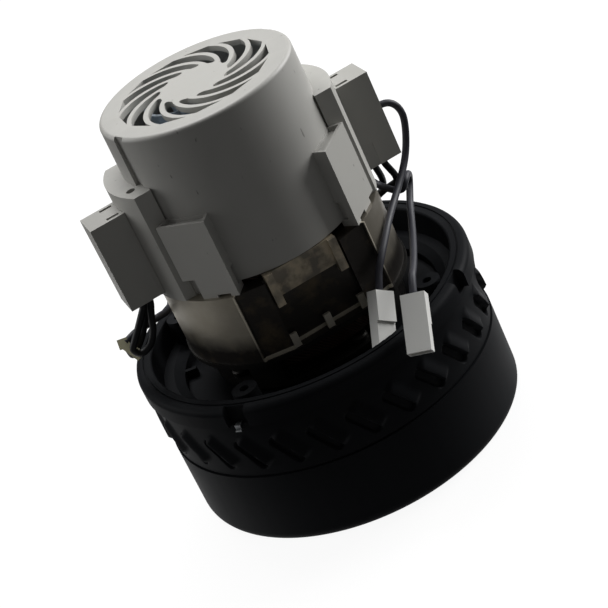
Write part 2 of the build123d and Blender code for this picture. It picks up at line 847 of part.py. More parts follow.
# Long screws, driven from under the bracket's rim through the stator into the cover's towers
with BuildPart() as clamp_screws:
    with BuildSketch(Plane.XY.offset(bracket_rim_bottom)):
        with Locations(*clamp_screw_places):
            Circle(clamp_screw_head_radius)
    extrude(amount=-clamp_screw_head_height)
    chamfer(clamp_screws.faces().group_by(Axis.Z)[0].edges(), clamp_screw_head_height / 4)
    with BuildSketch(Plane.XY.offset(bracket_rim_bottom)):
        with Locations(*clamp_screw_places):
            Circle(clamp_screw_radius)
    extrude(amount=stator_top + clamp_screw_depth - bracket_rim_bottom)
clamp_screws.part.label = "clamp_screws"
export_step(clamp_screws.part, "parts/clamp_screws.step")

# Field coils, one round each pole: two sides in the windows and an end turn above and below
for coil_label, way in (("field_coil_front", -1), ("field_coil_back", 1)):
    with BuildPart() as field_coil:
        with BuildSketch(Plane.XY.offset(stator_bottom - former_sheet)):
            Circle(coil_outer_radius)
            Circle(coil_inner_radius, mode=Mode.SUBTRACT)
            Rectangle(2 * stator_pole_half_width + 2 * coil_inner_gap, 2 * stator_radius, mode=Mode.SUBTRACT)
            with Locations((0, way * (coil_foot_y + stator_radius / 2))):
                Rectangle(2 * stator_radius, stator_radius, mode=Mode.INTERSECT)
        extrude(amount=stator_top - stator_bottom + 2 * former_sheet)
        for end_height, growth in ((stator_top + former_sheet, 1), (stator_bottom - former_sheet, -1)):
            with BuildSketch(Plane.XY.offset(end_height)):
                Circle(coil_outer_radius)
                Circle(coil_inner_radius, mode=Mode.SUBTRACT)
                with Locations((0, way * (coil_foot_y + stator_radius / 2))):
                    Rectangle(2 * stator_radius, stator_radius, mode=Mode.INTERSECT)
            extrude(amount=growth * coil_end_height)
        for end_index in (0, -1):
            fillet(field_coil.faces().sort_by(Axis.Z)[end_index].edges(), coil_end_round)
    field_coil.part.label = coil_label
    export_step(field_coil.part, f"parts/{coil_label}.step")

# Coil formers: insulating end plates whose tongue and pillars hook over the stator's recess
for former_label, way in (("coil_former_front", -1), ("coil_former_back", 1)):
    with BuildPart() as coil_former:
        with BuildSketch(Plane.XY.offset(stator_top)):
            Circle(stator_window_radius)
            Circle(shoe_radius, mode=Mode.SUBTRACT)
            with Locations((0, way * stator_radius / 2)):
                Rectangle(2 * stator_pole_half_width, stator_radius, mode=Mode.INTERSECT)
            with Locations((0, way * stator_recess_y)):
                Rectangle(2 * stator_pole_half_width, 2 * former_tongue_depth)
        extrude(amount=former_sheet)
        with BuildSketch(Plane.XY.offset(former_top)):
            with Locations((0, way * (stator_recess_y + fit_gap + former_tongue_depth / 2))):
                Rectangle(2 * former_tongue_half_width, former_tongue_depth)
        extrude(amount=-former_rise - former_tongue_drop)
        with BuildSketch(Plane.XY.offset(former_top)):
            for side in (1, -1):
                with Locations(
                    (
                        side * (former_tongue_half_width + former_pillar_width / 2),
                        way * (stator_recess_y + fit_gap + former_pillar_depth / 2),
                    )
                ):
                    Rectangle(former_pillar_width, former_pillar_depth)
        extrude(amount=-former_rise - former_pillar_drop)
    coil_former.part.label = former_label
    export_step(coil_former.part, f"parts/{former_label}.step")


# One spiral slot of the grille, turned to its place, as the closed outline of a sketch
def grille_slot(start_angle):
    pitch = 360 / grille_count
    turn_rate = grille_turn / (grille_outer_radius - grille_inner_radius)
    edges = []
    for side in (1, -1):
        points = []
        for share in (0, 1 / 2, 1):
            radius = grille_inner_radius + share * (grille_outer_radius - grille_inner_radius)
            slope = radius * radians(turn_rate)
            rib_angle = degrees(grille_rib / 2 * sqrt(1 + slope**2) / radius)
            angle = start_angle + turn_rate * (radius - grille_inner_radius) + side * (pitch / 2 - rib_angle)
            points.append(polar(radius, angle))
        edges.append(points)
    left, right = edges
    ThreePointArc(*left)
    Line(left[2], right[2])
    ThreePointArc(*right)
    Line(right[0], left[0])


# Corners of a foot block of the cover in one quarter, by the signs of its X and Y
def foot_corners(sign_x, sign_y):
    outline = (
        polar(foot_radius, foot_near_angle),
        polar(foot_radius, foot_far_angle),
        polar(foot_root_radius, foot_far_angle),
        polar(foot_root_radius, foot_near_angle),
    )
    return [(sign_x * x, sign_y * y) for x, y in outline]


quarters = ((1, 1), (-1, 1), (-1, -1), (1, -1))

# Motor cover: drafted shell with the grille, two towers, four foot blocks and the upper bearing's seat
with BuildPart() as motor_cover:
    with BuildSketch(Plane.XZ) as cover_section:
        with BuildLine():
            Polyline(
                (cover_radius_low, cover_bottom),
                (cover_radius_high, cover_top),
                (0, cover_top),
                (0, cover_top - cover_top_wall),
                (cover_radius_high - cover_wall, cover_top - cover_top_wall),
                (cover_radius_low - cover_wall, cover_bottom),
                close=True,
            )
        make_face()
        fillet(corner(cover_section, cover_radius_high, cover_top), cover_round)
    revolve(axis=Axis.Z)
    with BuildSketch(Plane.XY.offset(stator_top)):
        for way in (1, -1):
            with BuildLine():
                Polyline(
                    (way * tower_front_x, way * tower_half_width),
                    (way * tower_root_x, way * tower_half_width),
                    (way * tower_root_x, -way * tower_half_width),
                    (way * tower_front_x, -way * tower_half_width),
                )
                ThreePointArc(
                    (way * tower_front_x, -way * tower_half_width),
                    (way * (tower_front_x + tower_bulge), 0),
                    (way * tower_front_x, way * tower_half_width),
                )
            make_face()
        Circle(foot_root_radius, mode=Mode.SUBTRACT)
    extrude(amount=tower_top - stator_top)
    with BuildSketch(Plane.XY.offset(stator_top)):
        for sign_x, sign_y in quarters:
            with BuildLine():
                Polyline(*foot_corners(sign_x, sign_y), close=True)
            make_face()
    extrude(amount=foot_top - stator_top)
    with BuildSketch(Plane.XY.offset(foot_top)):
        for sign_x, sign_y in quarters:
            with BuildLine():
                Polyline(*foot_corners(sign_x, sign_y), close=True)
            make_face()
        offset(amount=-foot_rim, kind=Kind.INTERSECTION)
        Circle(cover_radius_low, mode=Mode.SUBTRACT)
    extrude(amount=-foot_top_recess, mode=Mode.SUBTRACT)
    for sign_x, sign_y in quarters:
        face_normal = (sign_x * cos(radians(foot_face_angle)), sign_y * sin(radians(foot_face_angle)), 0)
        face_side = (-sign_x * sin(radians(foot_face_angle)), sign_y * cos(radians(foot_face_angle)), 0)
        face_centre = Vector(*face_normal) * foot_face_distance + Vector(0, 0, stator_top)
        notch_height = foot_slit_height if sign_x > 0 > sign_y else foot_notch_height
        with BuildSketch(Plane(origin=face_centre, x_dir=face_side, z_dir=face_normal)):
            with Locations((-foot_face_length / 2, 0)):
                Rectangle(foot_notch_width, 2 * notch_height, align=(Align.MIN, Align.CENTER))
        extrude(amount=-foot_notch_depth, mode=Mode.SUBTRACT)
        with BuildSketch(Plane(origin=face_centre, x_dir=face_side, z_dir=face_normal)):
            with Locations((foot_face_length / 5, 0)):
                Rectangle(foot_slot_width, 2 * foot_slot_height)
        extrude(amount=-foot_slot_depth, mode=Mode.SUBTRACT)
        with BuildSketch(Plane.XY.offset(cover_bottom)):
            far_x, far_y = polar(foot_root_radius + foot_side_slot_width, foot_far_angle)
            with Locations(Location((sign_x * far_x, sign_y * far_y), sign_x * sign_y * foot_far_angle)):
                Rectangle(foot_side_slot_width, foot_side_slot_width)
        extrude(amount=foot_side_slot_height, mode=Mode.SUBTRACT)
    with BuildSketch(Plane.XY.offset(tower_top + face_gap)):
        for way in (0, 180):
            with Locations(Location(polar(cover_radius_low, groove_angle + way), groove_angle + way)):
                Rectangle(2 * (groove_depth + cover_radius_low - cover_radius_high), groove_width)
    extrude(amount=cover_top, mode=Mode.SUBTRACT)
    with BuildSketch(Plane.XY.offset(cover_top)) as grille:
        for slot_index in range(grille_count):
            with BuildLine():
                grille_slot(grille_start_angle + slot_index * 360 / grille_count)
            make_face()
        inner_corners = [v for v in grille.vertices() if v.center().length < grille_inner_radius + grille_rib]
        outer_corners = [v for v in grille.vertices() if v.center().length > grille_outer_radius - grille_rib]
        fillet(inner_corners, grille_inner_round)
        fillet(outer_corners, grille_outer_round)
    extrude(amount=-cover_top_wall - cut_overrun / 2, mode=Mode.SUBTRACT)
    with BuildSketch(Plane.XY.offset(bridge_bottom)):
        Circle(upper_outer_radius + fit_gap + bridge_seat_wall)
    extrude(amount=bridge_top - bridge_bottom)
    with BuildSketch(Plane.XY.offset(bridge_top - bridge_arm_height)):
        arm_start = upper_outer_radius + bridge_seat_wall / 2
        with PolarLocations(arm_start, bridge_arm_count, start_angle=bridge_arm_start_angle):
            Rectangle(
                cover_radius_low - cover_wall / 2 - upper_outer_radius - bridge_seat_wall / 2,
                bridge_arm_width,
                align=(Align.MIN, Align.CENTER),
            )
        Circle(cover_radius_high - cover_wall / 2, mode=Mode.INTERSECT)
    extrude(amount=bridge_arm_height)
    with BuildSketch(Plane.XY.offset(bridge_bottom)):
        Circle(upper_outer_radius + fit_gap)
    extrude(amount=bridge_top - bridge_bottom - bridge_seat_wall, mode=Mode.SUBTRACT)
    with BuildSketch(Plane.XY.offset(bridge_top)):
        Circle(bridge_hole_radius)
    extrude(amount=-bridge_seat_wall - cut_overrun, mode=Mode.SUBTRACT)
    with BuildSketch(Plane.YZ.offset(-box_plate_x - cut_overrun)):
        with Locations((0, brush_height)):
            Rectangle(
                2 * (brush_half_width + brush_gap + holder_wall),
                2 * (brush_half_thickness + brush_gap + holder_wall),
            )
    extrude(amount=2 * (box_plate_x + cut_overrun), mode=Mode.SUBTRACT)
    for way in (1, -1):
        with BuildSketch(Plane.XY.offset(box_bottom - fit_gap)):
            with Locations((way * (box_plate_x - fit_gap + box_depth / 2), way * box_shift_y)):
                Rectangle(box_depth, 2 * (box_half_width + fit_gap))
        extrude(amount=box_top - box_bottom + 2 * fit_gap, mode=Mode.SUBTRACT)
        with BuildSketch(Plane.XY.offset(stator_top)):
            with Locations((way * clamp_screw_x, way * clamp_screw_y)):
                Circle(clamp_screw_radius + fit_gap)
        extrude(amount=clamp_screw_depth + cut_overrun, mode=Mode.SUBTRACT)
        with BuildSketch(Plane.XY.offset(stator_top)):
            with Locations((way * clamp_screw_x, way * clamp_screw_y)):
                Circle(tower_hole_radius)
        extrude(amount=tower_top, mode=Mode.SUBTRACT)
motor_cover.part.label = "motor_cover"
export_step(motor_cover.part, "parts/motor_cover.step")

# Bearings: an outer ring with its shields, an inner ring, and the balls in their cage
bearings = (
    ("upper", upper_bore_radius, upper_outer_radius, upper_width, upper_ball_count, upper_bearing_bottom),
    ("lower", lower_bore_radius, lower_outer_radius, lower_width, lower_ball_count, lower_bearing_bottom),
)
for bearing_name, bore, outer, width, ball_count, bottom in bearings:
    section = outer - bore
    pitch_radius = (outer + bore) / 2
    middle = bottom + width / 2
    ball_radius = section * ball_share
    with BuildPart() as outer_ring:
        with BuildSketch(Plane.XZ):
            with Locations((outer - section * race_share / 2, middle)):
                Rectangle(section * race_share, width)
            with Locations((pitch_radius, middle)):
                Circle(ball_radius + ball_gap, mode=Mode.SUBTRACT)
            for side in (1, -1):
                with Locations((outer, middle + side * (width - shield_thickness) / 2)):
                    Rectangle(
                        section - section * race_share - shield_gap,
                        shield_thickness,
                        align=(Align.MAX, Align.CENTER),
                    )
        revolve(axis=Axis.Z)
    outer_ring.part.label = f"{bearing_name}_bearing_outer"
    export_step(outer_ring.part, f"parts/{bearing_name}_bearing_outer.step")
    with BuildPart() as inner_ring:
        with BuildSketch(Plane.XZ):
            with Locations((bore + section * race_share / 2, middle)):
                Rectangle(section * race_share, width)
            with Locations((pitch_radius, middle)):
                Circle(ball_radius + ball_gap, mode=Mode.SUBTRACT)
        revolve(axis=Axis.Z)
    inner_ring.part.label = f"{bearing_name}_bearing_inner"
    export_step(inner_ring.part, f"parts/{bearing_name}_bearing_inner.step")
    with BuildPart() as ball_set:
        with BuildSketch(Plane.XY.offset(middle - section * cage_height_share / 2)):
            Circle(pitch_radius + section * cage_width_share / 2)
            Circle(pitch_radius - section * cage_width_share / 2, mode=Mode.SUBTRACT)
        extrude(amount=section * cage_height_share)
        with Locations((0, 0, middle)):
            with PolarLocations(pitch_radius, ball_count):
                Sphere(ball_radius)
    ball_set.part.label = f"{bearing_name}_bearing_balls"
    export_step(ball_set.part, f"parts/{bearing_name}_bearing_balls.step")

# Washer that presses on the upper bearing's outer ring
with BuildPart() as preload_washer:
    with BuildSketch(Plane.XY.offset(upper_bearing_top)):
        Circle(upper_outer_radius)
        Circle(upper_outer_radius - washer_width, mode=Mode.SUBTRACT)
    extrude(amount=washer_thickness)
preload_washer.part.label = "preload_washer"
export_step(preload_washer.part, "parts/preload_washer.step")

# Shaft: thread at the fan end, shoulder above the lower bearing, thick middle, journal at the top
with BuildPart() as shaft:
    with BuildSketch(Plane.XZ):
        with BuildLine():
            Polyline(
                (0, shaft_bottom),
                (shaft_thread_radius, shaft_bottom),
                (shaft_thread_radius, shaft_thread_top),
                (shaft_fan_radius, shaft_thread_top),
                (shaft_fan_radius, lower_bearing_top),
                (shaft_core_radius, lower_bearing_top),
                (shaft_core_radius, shaft_core_top),
                (shaft_commutator_radius, shaft_core_top),
                (shaft_commutator_radius, upper_bearing_bottom),
                (upper_bore_radius, upper_bearing_bottom),
                (upper_bore_radius, shaft_top),
                (0, shaft_top),
                close=True,
            )
        make_face()
    revolve(axis=Axis.Z)
    for end_face in (shaft.faces().sort_by(Axis.Z)[0], shaft.faces().sort_by(Axis.Z)[-1]):
        chamfer(end_face.edges(), upper_bore_radius / 8)
shaft.part.label = "shaft"
export_step(shaft.part, "parts/shaft.step")

# Armature laminations with their slots
with BuildPart() as armature_core:
    with BuildSketch(Plane.XY.offset(stator_bottom)):
        Circle(armature_radius)
        Circle(shaft_core_radius, mode=Mode.SUBTRACT)
        with PolarLocations(armature_slot_floor_radius, armature_slot_count):
            Rectangle(
                armature_slot_top_radius - armature_slot_floor_radius,
                armature_slot_width,
                align=(Align.MIN, Align.CENTER),
                mode=Mode.SUBTRACT,
            )
            Rectangle(armature_radius, armature_slot_mouth, align=(Align.MIN, Align.CENTER), mode=Mode.SUBTRACT)
    extrude(amount=stator_top - stator_bottom)
armature_core.part.label = "armature_core"
export_step(armature_core.part, "parts/armature_core.step")

# Armature windings: bars in the slots and a rounded ring of end turns above and below
with BuildPart() as armature_windings:
    with BuildSketch(Plane.XY.offset(stator_bottom - winding_lower_height / 2)):
        with PolarLocations(armature_slot_floor_radius + winding_slot_gap, armature_slot_count):
            Rectangle(
                armature_slot_top_radius - winding_slot_top_gap - armature_slot_floor_radius - winding_slot_gap,
                armature_slot_width - 2 * winding_slot_gap,
                align=(Align.MIN, Align.CENTER),
            )
    extrude(amount=stator_top - stator_bottom + winding_lower_height / 2 + winding_upper_height / 2)
    for end_low, end_height in (
        (stator_bottom - fit_gap - winding_lower_height, winding_lower_height),
        (stator_top + fit_gap, winding_upper_height),
    ):
        with BuildSketch(Plane.XZ):
            with Locations(((winding_inner_radius + winding_outer_radius) / 2, end_low + end_height / 2)):
                RectangleRounded(winding_outer_radius - winding_inner_radius, end_height, winding_round)
        revolve(axis=Axis.Z)
armature_windings.part.label = "armature_windings"
export_step(armature_windings.part, "parts/armature_windings.step")

# Commutator: copper bars with risers, on a moulded hub
with BuildPart() as commutator:
    with BuildSketch(Plane.XY.offset(commutator_bottom)):
        Circle(commutator_radius)
        Circle(commutator_bore_radius, mode=Mode.SUBTRACT)
    extrude(amount=commutator_top - commutator_bottom)
    with BuildSketch(Plane.XY.offset(commutator_bottom)):
        Circle(commutator_riser_radius)
        Circle(commutator_bore_radius, mode=Mode.SUBTRACT)
    extrude(amount=commutator_riser_height)
    with BuildSketch(Plane.XY.offset(commutator_bottom)):
        with PolarLocations(commutator_radius - commutator_groove_depth, commutator_bar_count):
            Rectangle(commutator_radius, commutator_groove_width, align=(Align.MIN, Align.CENTER))
    extrude(amount=commutator_top - commutator_bottom, mode=Mode.SUBTRACT)
commutator.part.label = "commutator"
export_step(commutator.part, "parts/commutator.step")

with BuildPart() as commutator_hub:
    with BuildSketch(Plane.XY.offset(commutator_bottom - commutator_hub_overhang)):
        Circle(commutator_bore_radius)
        Circle(shaft_commutator_radius, mode=Mode.SUBTRACT)
    extrude(amount=commutator_top - commutator_bottom + 2 * commutator_hub_overhang)
commutator_hub.part.label = "commutator_hub"
export_step(commutator_hub.part, "parts/commutator_hub.step")


# A curved blade of even thickness, from a root radius to a tip radius, swept back by an angle
def blade(root_radius, tip_radius, sweep, bend, thickness, start_angle):
    root = Vector(*polar(root_radius, start_angle), 0)
    tip = Vector(*polar(tip_radius, start_angle - sweep), 0)
    chord = tip - root
    side = Vector(0, 0, 1).cross(chord).normalized()
    belly = (root + tip) / 2 + side * bend
    half = side * (thickness / 2)
    ThreePointArc(root + half, belly + half, tip + half)
    Line(tip + half, tip - half)
    ThreePointArc(tip - half, belly - half, root - half)
    Line(root - half, root + half)


# Cooling fan on the top of the shaft: hub with its sleeve, disc and swept blades
with BuildPart() as cooling_fan:
    with BuildSketch(Plane.XY.offset(upper_bearing_top)):
        Circle(cooler_sleeve_radius)
    extrude(amount=cooler_disc_bottom - upper_bearing_top)
    with BuildSketch(Plane.XY.offset(cooler_disc_bottom)):
        Circle(cooler_radius)
    extrude(amount=cooler_disc_thickness)
    with BuildSketch(Plane.XY.offset(cooler_disc_bottom)):
        Circle(cooler_hub_radius)
    extrude(amount=cooler_hub_top - cooler_disc_bottom)
    with BuildSketch(Plane.XY.offset(cooler_disc_bottom)):
        for blade_index in range(cooler_blade_count):
            with BuildLine():
                blade(
                    cooler_blade_root_radius,
                    cooler_radius,
                    360 / cooler_blade_count,
                    cooler_blade_bend,
                    cooler_blade_thickness,
                    blade_index * 360 / cooler_blade_count,
                )
            make_face()
    extrude(amount=cooler_blade_height)
    with BuildSketch(Plane.XY.offset(upper_bearing_top)):
        Circle(upper_bore_radius)
    extrude(amount=shaft_top, mode=Mode.SUBTRACT)
cooling_fan.part.label = "cooling_fan"
export_step(cooling_fan.part, "parts/cooling_fan.step")

with BuildPart() as cooling_fan_nut:
    with BuildSketch(Plane.XY.offset(cooler_hub_top)):
        Circle(cooler_nut_radius)
        Circle(upper_bore_radius, mode=Mode.SUBTRACT)
    extrude(amount=cooler_nut_height)
    fillet(cooling_fan_nut.edges().group_by(Axis.Z)[-1].sort_by(SortBy.RADIUS)[-1], cooler_nut_round)
cooling_fan_nut.part.label = "cooling_fan_nut"
export_step(cooling_fan_nut.part, "parts/cooling_fan_nut.step")

# The two impellers: a shroud with the eye below, blades, and a plain disc above
impeller_eye_radius = inlet_radius + inlet_lip_wall + impeller_eye_gap
for impeller_label, low, high in (
    ("first_impeller", first_impeller_bottom, first_impeller_top),
    ("second_impeller", second_impeller_bottom, second_impeller_top),
):
    with BuildPart() as impeller:
        with BuildSketch(Plane.XY.offset(low)):
            Circle(impeller_radius)
            Circle(impeller_eye_radius, mode=Mode.SUBTRACT)
        extrude(amount=impeller_sheet)
        with BuildSketch(Plane.XY.offset(high - impeller_sheet)):
            Circle(impeller_radius)
            Circle(shaft_fan_radius, mode=Mode.SUBTRACT)
        extrude(amount=impeller_sheet)
        with BuildSketch(Plane.XY.offset(low)):
            for blade_index in range(impeller_blade_count):
                with BuildLine():
                    blade(
                        impeller_blade_root_radius,
                        impeller_radius - impeller_blade_thickness,
                        impeller_blade_sweep,
                        impeller_blade_bend_share * (impeller_radius - impeller_blade_root_radius),
                        impeller_blade_thickness,
                        blade_index * 360 / impeller_blade_count,
                    )
                make_face()
        extrude(amount=high - low)
    impeller.part.label = impeller_label
    export_step(impeller.part, f"parts/{impeller_label}.step")

# Return plate between the stages: lower disc, vanes that lead the air inwards, upper disc with the eye
with BuildPart() as return_plate:
    with BuildSketch(Plane.XY.offset(return_disc_bottom)):
        Circle(return_disc_radius)
        Circle(return_hole_radius, mode=Mode.SUBTRACT)
    extrude(amount=return_sheet)
    with BuildSketch(Plane.XY.offset(shoulder_top)):
        Circle(spigot_inner_radius - fit_gap)
        Circle(return_eye_radius, mode=Mode.SUBTRACT)
    extrude(amount=return_plate_sheet)
    with BuildSketch(Plane.XY.offset(shoulder_top)):
        Circle(return_eye_radius + return_collar_wall)
        Circle(return_eye_radius, mode=Mode.SUBTRACT)
    extrude(amount=return_plate_sheet + return_collar_height)
    with BuildSketch(Plane.XY.offset(return_disc_bottom)):
        for vane_index in range(return_vane_count):
            with BuildLine():
                blade(
                    return_vane_root_radius,
                    return_disc_radius - return_vane_thickness,
                    return_vane_sweep,
                    impeller_blade_bend_share * (return_disc_radius - return_vane_root_radius),
                    return_vane_thickness,
                    vane_index * 360 / return_vane_count,
                )
            make_face()
    extrude(amount=shoulder_top - return_disc_bottom)
return_plate.part.label = "return_plate"
export_step(return_plate.part, "parts/return_plate.step")

# Clamping washers beside the impellers' discs
with BuildPart() as impeller_washers:
    for washer_low in (
        first_impeller_top - impeller_sheet - impeller_washer_thickness,
        second_impeller_top - impeller_sheet - impeller_washer_thickness,
    ):
        with BuildSketch(Plane.XY.offset(washer_low)):
            Circle(impeller_washer_radius)
            Circle(shaft_fan_radius, mode=Mode.SUBTRACT)
        extrude(amount=impeller_washer_thickness)
impeller_washers.part.label = "impeller_washers"
export_step(impeller_washers.part, "parts/impeller_washers.step")

# Spacer tubes on the shaft, between the impellers and up to the lower bearing
with BuildPart() as stage_spacer:
    with BuildSketch(Plane.XY.offset(first_impeller_top)):
        Circle(spacer_radius)
        Circle(shaft_fan_radius, mode=Mode.SUBTRACT)
    extrude(amount=second_impeller_top - impeller_sheet - impeller_washer_thickness - first_impeller_top)
stage_spacer.part.label = "stage_spacer"
export_step(stage_spacer.part, "parts/stage_spacer.step")

with BuildPart() as bearing_spacer:
    with BuildSketch(Plane.XY.offset(second_impeller_top)):
        Circle(bearing_spacer_radius)
        Circle(shaft_fan_radius, mode=Mode.SUBTRACT)
    extrude(amount=lower_bearing_bottom - second_impeller_top)
bearing_spacer.part.label = "bearing_spacer"
export_step(bearing_spacer.part, "parts/bearing_spacer.step")

# Nut that clamps the impellers on the shaft
shaft_nut_top = first_impeller_top - impeller_sheet - impeller_washer_thickness
with BuildPart() as shaft_nut:
    with BuildSketch(Plane.XY.offset(shaft_nut_top)):
        RegularPolygon(shaft_nut_across_flats / 2, 6, major_radius=False)
        Circle(shaft_thread_radius, mode=Mode.SUBTRACT)
    extrude(amount=-shaft_nut_height)
shaft_nut.part.label = "shaft_nut"
export_step(shaft_nut.part, "parts/shaft_nut.step")

# Brush gear, the same on both sides: holder tube, carbon brush, spring and end cap with its tab
spring_pitch = (holder_cap_x - brush_tail_x - 2 * brush_spring_wire) / brush_spring_turns
for side_name, way in (("right", 1), ("left", -1)):
    with BuildPart() as brush_holder:
        with BuildSketch(Plane.YZ.offset(way * holder_start_x)):
            with Locations((0, brush_height)):
                Rectangle(
                    2 * (brush_half_width + brush_gap + holder_wall),
                    2 * (brush_half_thickness + brush_gap + holder_wall),
                )
                Rectangle(
                    2 * (brush_half_width + brush_gap),
                    2 * (brush_half_thickness + brush_gap),
                    mode=Mode.SUBTRACT,
                )
        extrude(amount=way * (holder_end_x - holder_start_x))
    brush_holder.part.label = f"brush_holder_{side_name}"
    export_step(brush_holder.part, f"parts/brush_holder_{side_name}.step")
    with BuildPart() as carbon_brush:
        with BuildSketch(Plane.YZ):
            with Locations((0, brush_height)):
                Rectangle(2 * brush_half_width, 2 * brush_half_thickness)
        extrude(amount=way * brush_tail_x)
        with BuildSketch(Plane.XY.offset(brush_height - brush_half_thickness - cut_overrun)):
            Circle(commutator_radius + brush_face_gap)
        extrude(amount=2 * (brush_half_thickness + cut_overrun), mode=Mode.SUBTRACT)
    carbon_brush.part.label = f"carbon_brush_{side_name}"
    export_step(carbon_brush.part, f"parts/carbon_brush_{side_name}.step")
    with BuildPart() as brush_spring:
        with BuildLine() as spring_line:
            spring_start = way * (brush_tail_x + brush_spring_wire)
            Helix(
                spring_pitch,
                spring_pitch * brush_spring_turns,
                brush_spring_radius,
                center=(spring_start, 0, brush_height),
                direction=(way, 0, 0),
            )
        with BuildSketch(Plane(origin=spring_line.line @ 0, z_dir=spring_line.line % 0)):
            Circle(brush_spring_wire)
        sweep(is_frenet=True)
    brush_spring.part.label = f"brush_spring_{side_name}"
    export_step(brush_spring.part, f"parts/brush_spring_{side_name}.step")
    with BuildPart() as brush_cap:
        with BuildSketch(Plane.YZ.offset(way * holder_cap_x)):
            with Locations((0, brush_height)):
                Rectangle(2 * (brush_half_width + brush_gap), 2 * (brush_half_thickness + brush_gap))
        extrude(amount=way * brush_cap_thickness)
        with BuildSketch(Plane.YZ.offset(way * holder_end_x)):
            with Locations((0, brush_height)):
                Rectangle(2 * brush_tab_half_width, 2 * brush_tab_half_thickness)
        extrude(amount=way * brush_tab_length)
    brush_cap.part.label = f"brush_cap_{side_name}"
    export_step(brush_cap.part, f"parts/brush_cap_{side_name}.step")

# Choke boxes on the towers, each with a ferrite core and its coil inside
for side_name, way in (("right", 1), ("left", -1)):
    middle_y = way * box_shift_y
    middle_x = way * (box_body_x + box_depth / 2)
    with BuildPart() as choke_box:
        with BuildSketch(Plane.XY.offset(box_bottom)):
            with Locations((middle_x, middle_y)):
                Rectangle(box_depth, 2 * box_half_width)
            with Locations((way * (box_plate_x + box_plate_thickness / 2), middle_y)):
                Rectangle(box_plate_thickness, 2 * box_half_width)
        extrude(amount=box_top - box_bottom)
        with BuildSketch(Plane.XY.offset(box_cavity_bottom)):
            with Locations((middle_x, middle_y)):
                Rectangle(box_depth - 2 * box_wall, 2 * (box_half_width - box_wall))
        extrude(amount=box_cavity_top - box_cavity_bottom, mode=Mode.SUBTRACT)
        with BuildSketch(Plane.XY.offset(box_top)):
            with Locations(
                *[
                    (way * (box_body_x + box_slot_inset + box_slot_length / 2), middle_y + side * box_slot_spread)
                    for side in (1, -1)
                ]
            ):
                Rectangle(box_slot_length, box_slot_width)
        extrude(amount=-box_wall - cut_overrun, mode=Mode.SUBTRACT)
        with BuildSketch(Plane.YZ.offset(way * (box_plate_x - cut_overrun))):
            with Locations((0, brush_height)):
                Rectangle(
                    2 * (brush_tab_half_width + fit_gap),
                    2 * (brush_tab_half_thickness + fit_gap),
                )
        extrude(amount=way * (box_plate_thickness + box_wall + 2 * cut_overrun), mode=Mode.SUBTRACT)
        with BuildSketch(Plane.XY.offset(box_bottom)):
            with Locations(
                (way * (box_body_x + box_step_width / 2), middle_y - way * box_half_width),
                (way * (box_body_x + box_step_width / 2), middle_y + way * box_half_width),
            ):
                Rectangle(box_step_width, 2 * box_step_depth)
        extrude(amount=box_step_height, mode=Mode.SUBTRACT)
    choke_box.part.label = f"choke_box_{side_name}"
    export_step(choke_box.part, f"parts/choke_box_{side_name}.step")
    with BuildPart() as choke_core:
        with BuildSketch(Plane.XY.offset(box_cavity_bottom)):
            with Locations((middle_x, middle_y)):
                Circle(choke_core_radius)
        extrude(amount=box_cavity_top - box_cavity_bottom)
    choke_core.part.label = f"choke_core_{side_name}"
    export_step(choke_core.part, f"parts/choke_core_{side_name}.step")
    coil_length = choke_coil_share * (box_cavity_top - box_cavity_bottom)
    with BuildPart() as choke_coil:
        with BuildSketch(Plane.XY.offset((box_cavity_bottom + box_cavity_top - coil_length) / 2)):
            with Locations((middle_x, middle_y)):
                Circle(choke_coil_radius)
                Circle(choke_core_radius, mode=Mode.SUBTRACT)
        extrude(amount=coil_length)
    choke_coil.part.label = f"choke_coil_{side_name}"
    export_step(choke_coil.part, f"parts/choke_coil_{side_name}.step")


# Terminal housings at the ends of the two leads, each with a metal receptacle inside
terminals = (
    ("one", terminal_one_top, terminal_one_toward, terminal_one_across, 1),
    ("two", terminal_two_top, terminal_two_toward, terminal_two_across, -1),
)
for terminal_name, top, toward, across, step_side in terminals:
    plane = lean_plane(top, toward, across)
    with BuildPart() as terminal_housing:
        with BuildSketch(plane):
            Rectangle(terminal_width, terminal_depth)
        extrude(amount=terminal_length)
        with BuildSketch(plane):
            with Locations((0, step_side * (terminal_depth + terminal_step_height) / 2)):
                Rectangle(terminal_width, terminal_step_height)
        extrude(amount=terminal_step_length)
        with BuildSketch(plane.offset(terminal_entry_length)):
            Rectangle(terminal_width - 2 * terminal_wall, terminal_depth - 2 * terminal_wall)
        extrude(amount=terminal_length, mode=Mode.SUBTRACT)
        with BuildSketch(plane):
            Circle(lead_diameter / 2 + fit_gap)
        extrude(amount=terminal_entry_length + cut_overrun, mode=Mode.SUBTRACT)
    terminal_housing.part.label = f"terminal_housing_{terminal_name}"
    export_step(terminal_housing.part, f"parts/terminal_housing_{terminal_name}.step")
    with BuildPart() as terminal_receptacle:
        with BuildSketch(plane.offset(terminal_entry_length)):
            Circle(receptacle_barrel_radius)
        extrude(amount=receptacle_barrel_length)
        with BuildSketch(plane.offset(terminal_entry_length + receptacle_barrel_length)):
            Rectangle(terminal_width - 2 * terminal_wall, receptacle_depth)
        extrude(amount=receptacle_length)
        with BuildSketch(plane.offset(terminal_entry_length + receptacle_barrel_length + receptacle_sheet)):
            Rectangle(
                terminal_width - 2 * terminal_wall - 2 * receptacle_sheet,
                receptacle_depth - 2 * receptacle_sheet,
            )
        extrude(amount=receptacle_length, mode=Mode.SUBTRACT)
    terminal_receptacle.part.label = f"terminal_receptacle_{terminal_name}"
    export_step(terminal_receptacle.part, f"parts/terminal_receptacle_{terminal_name}.step")


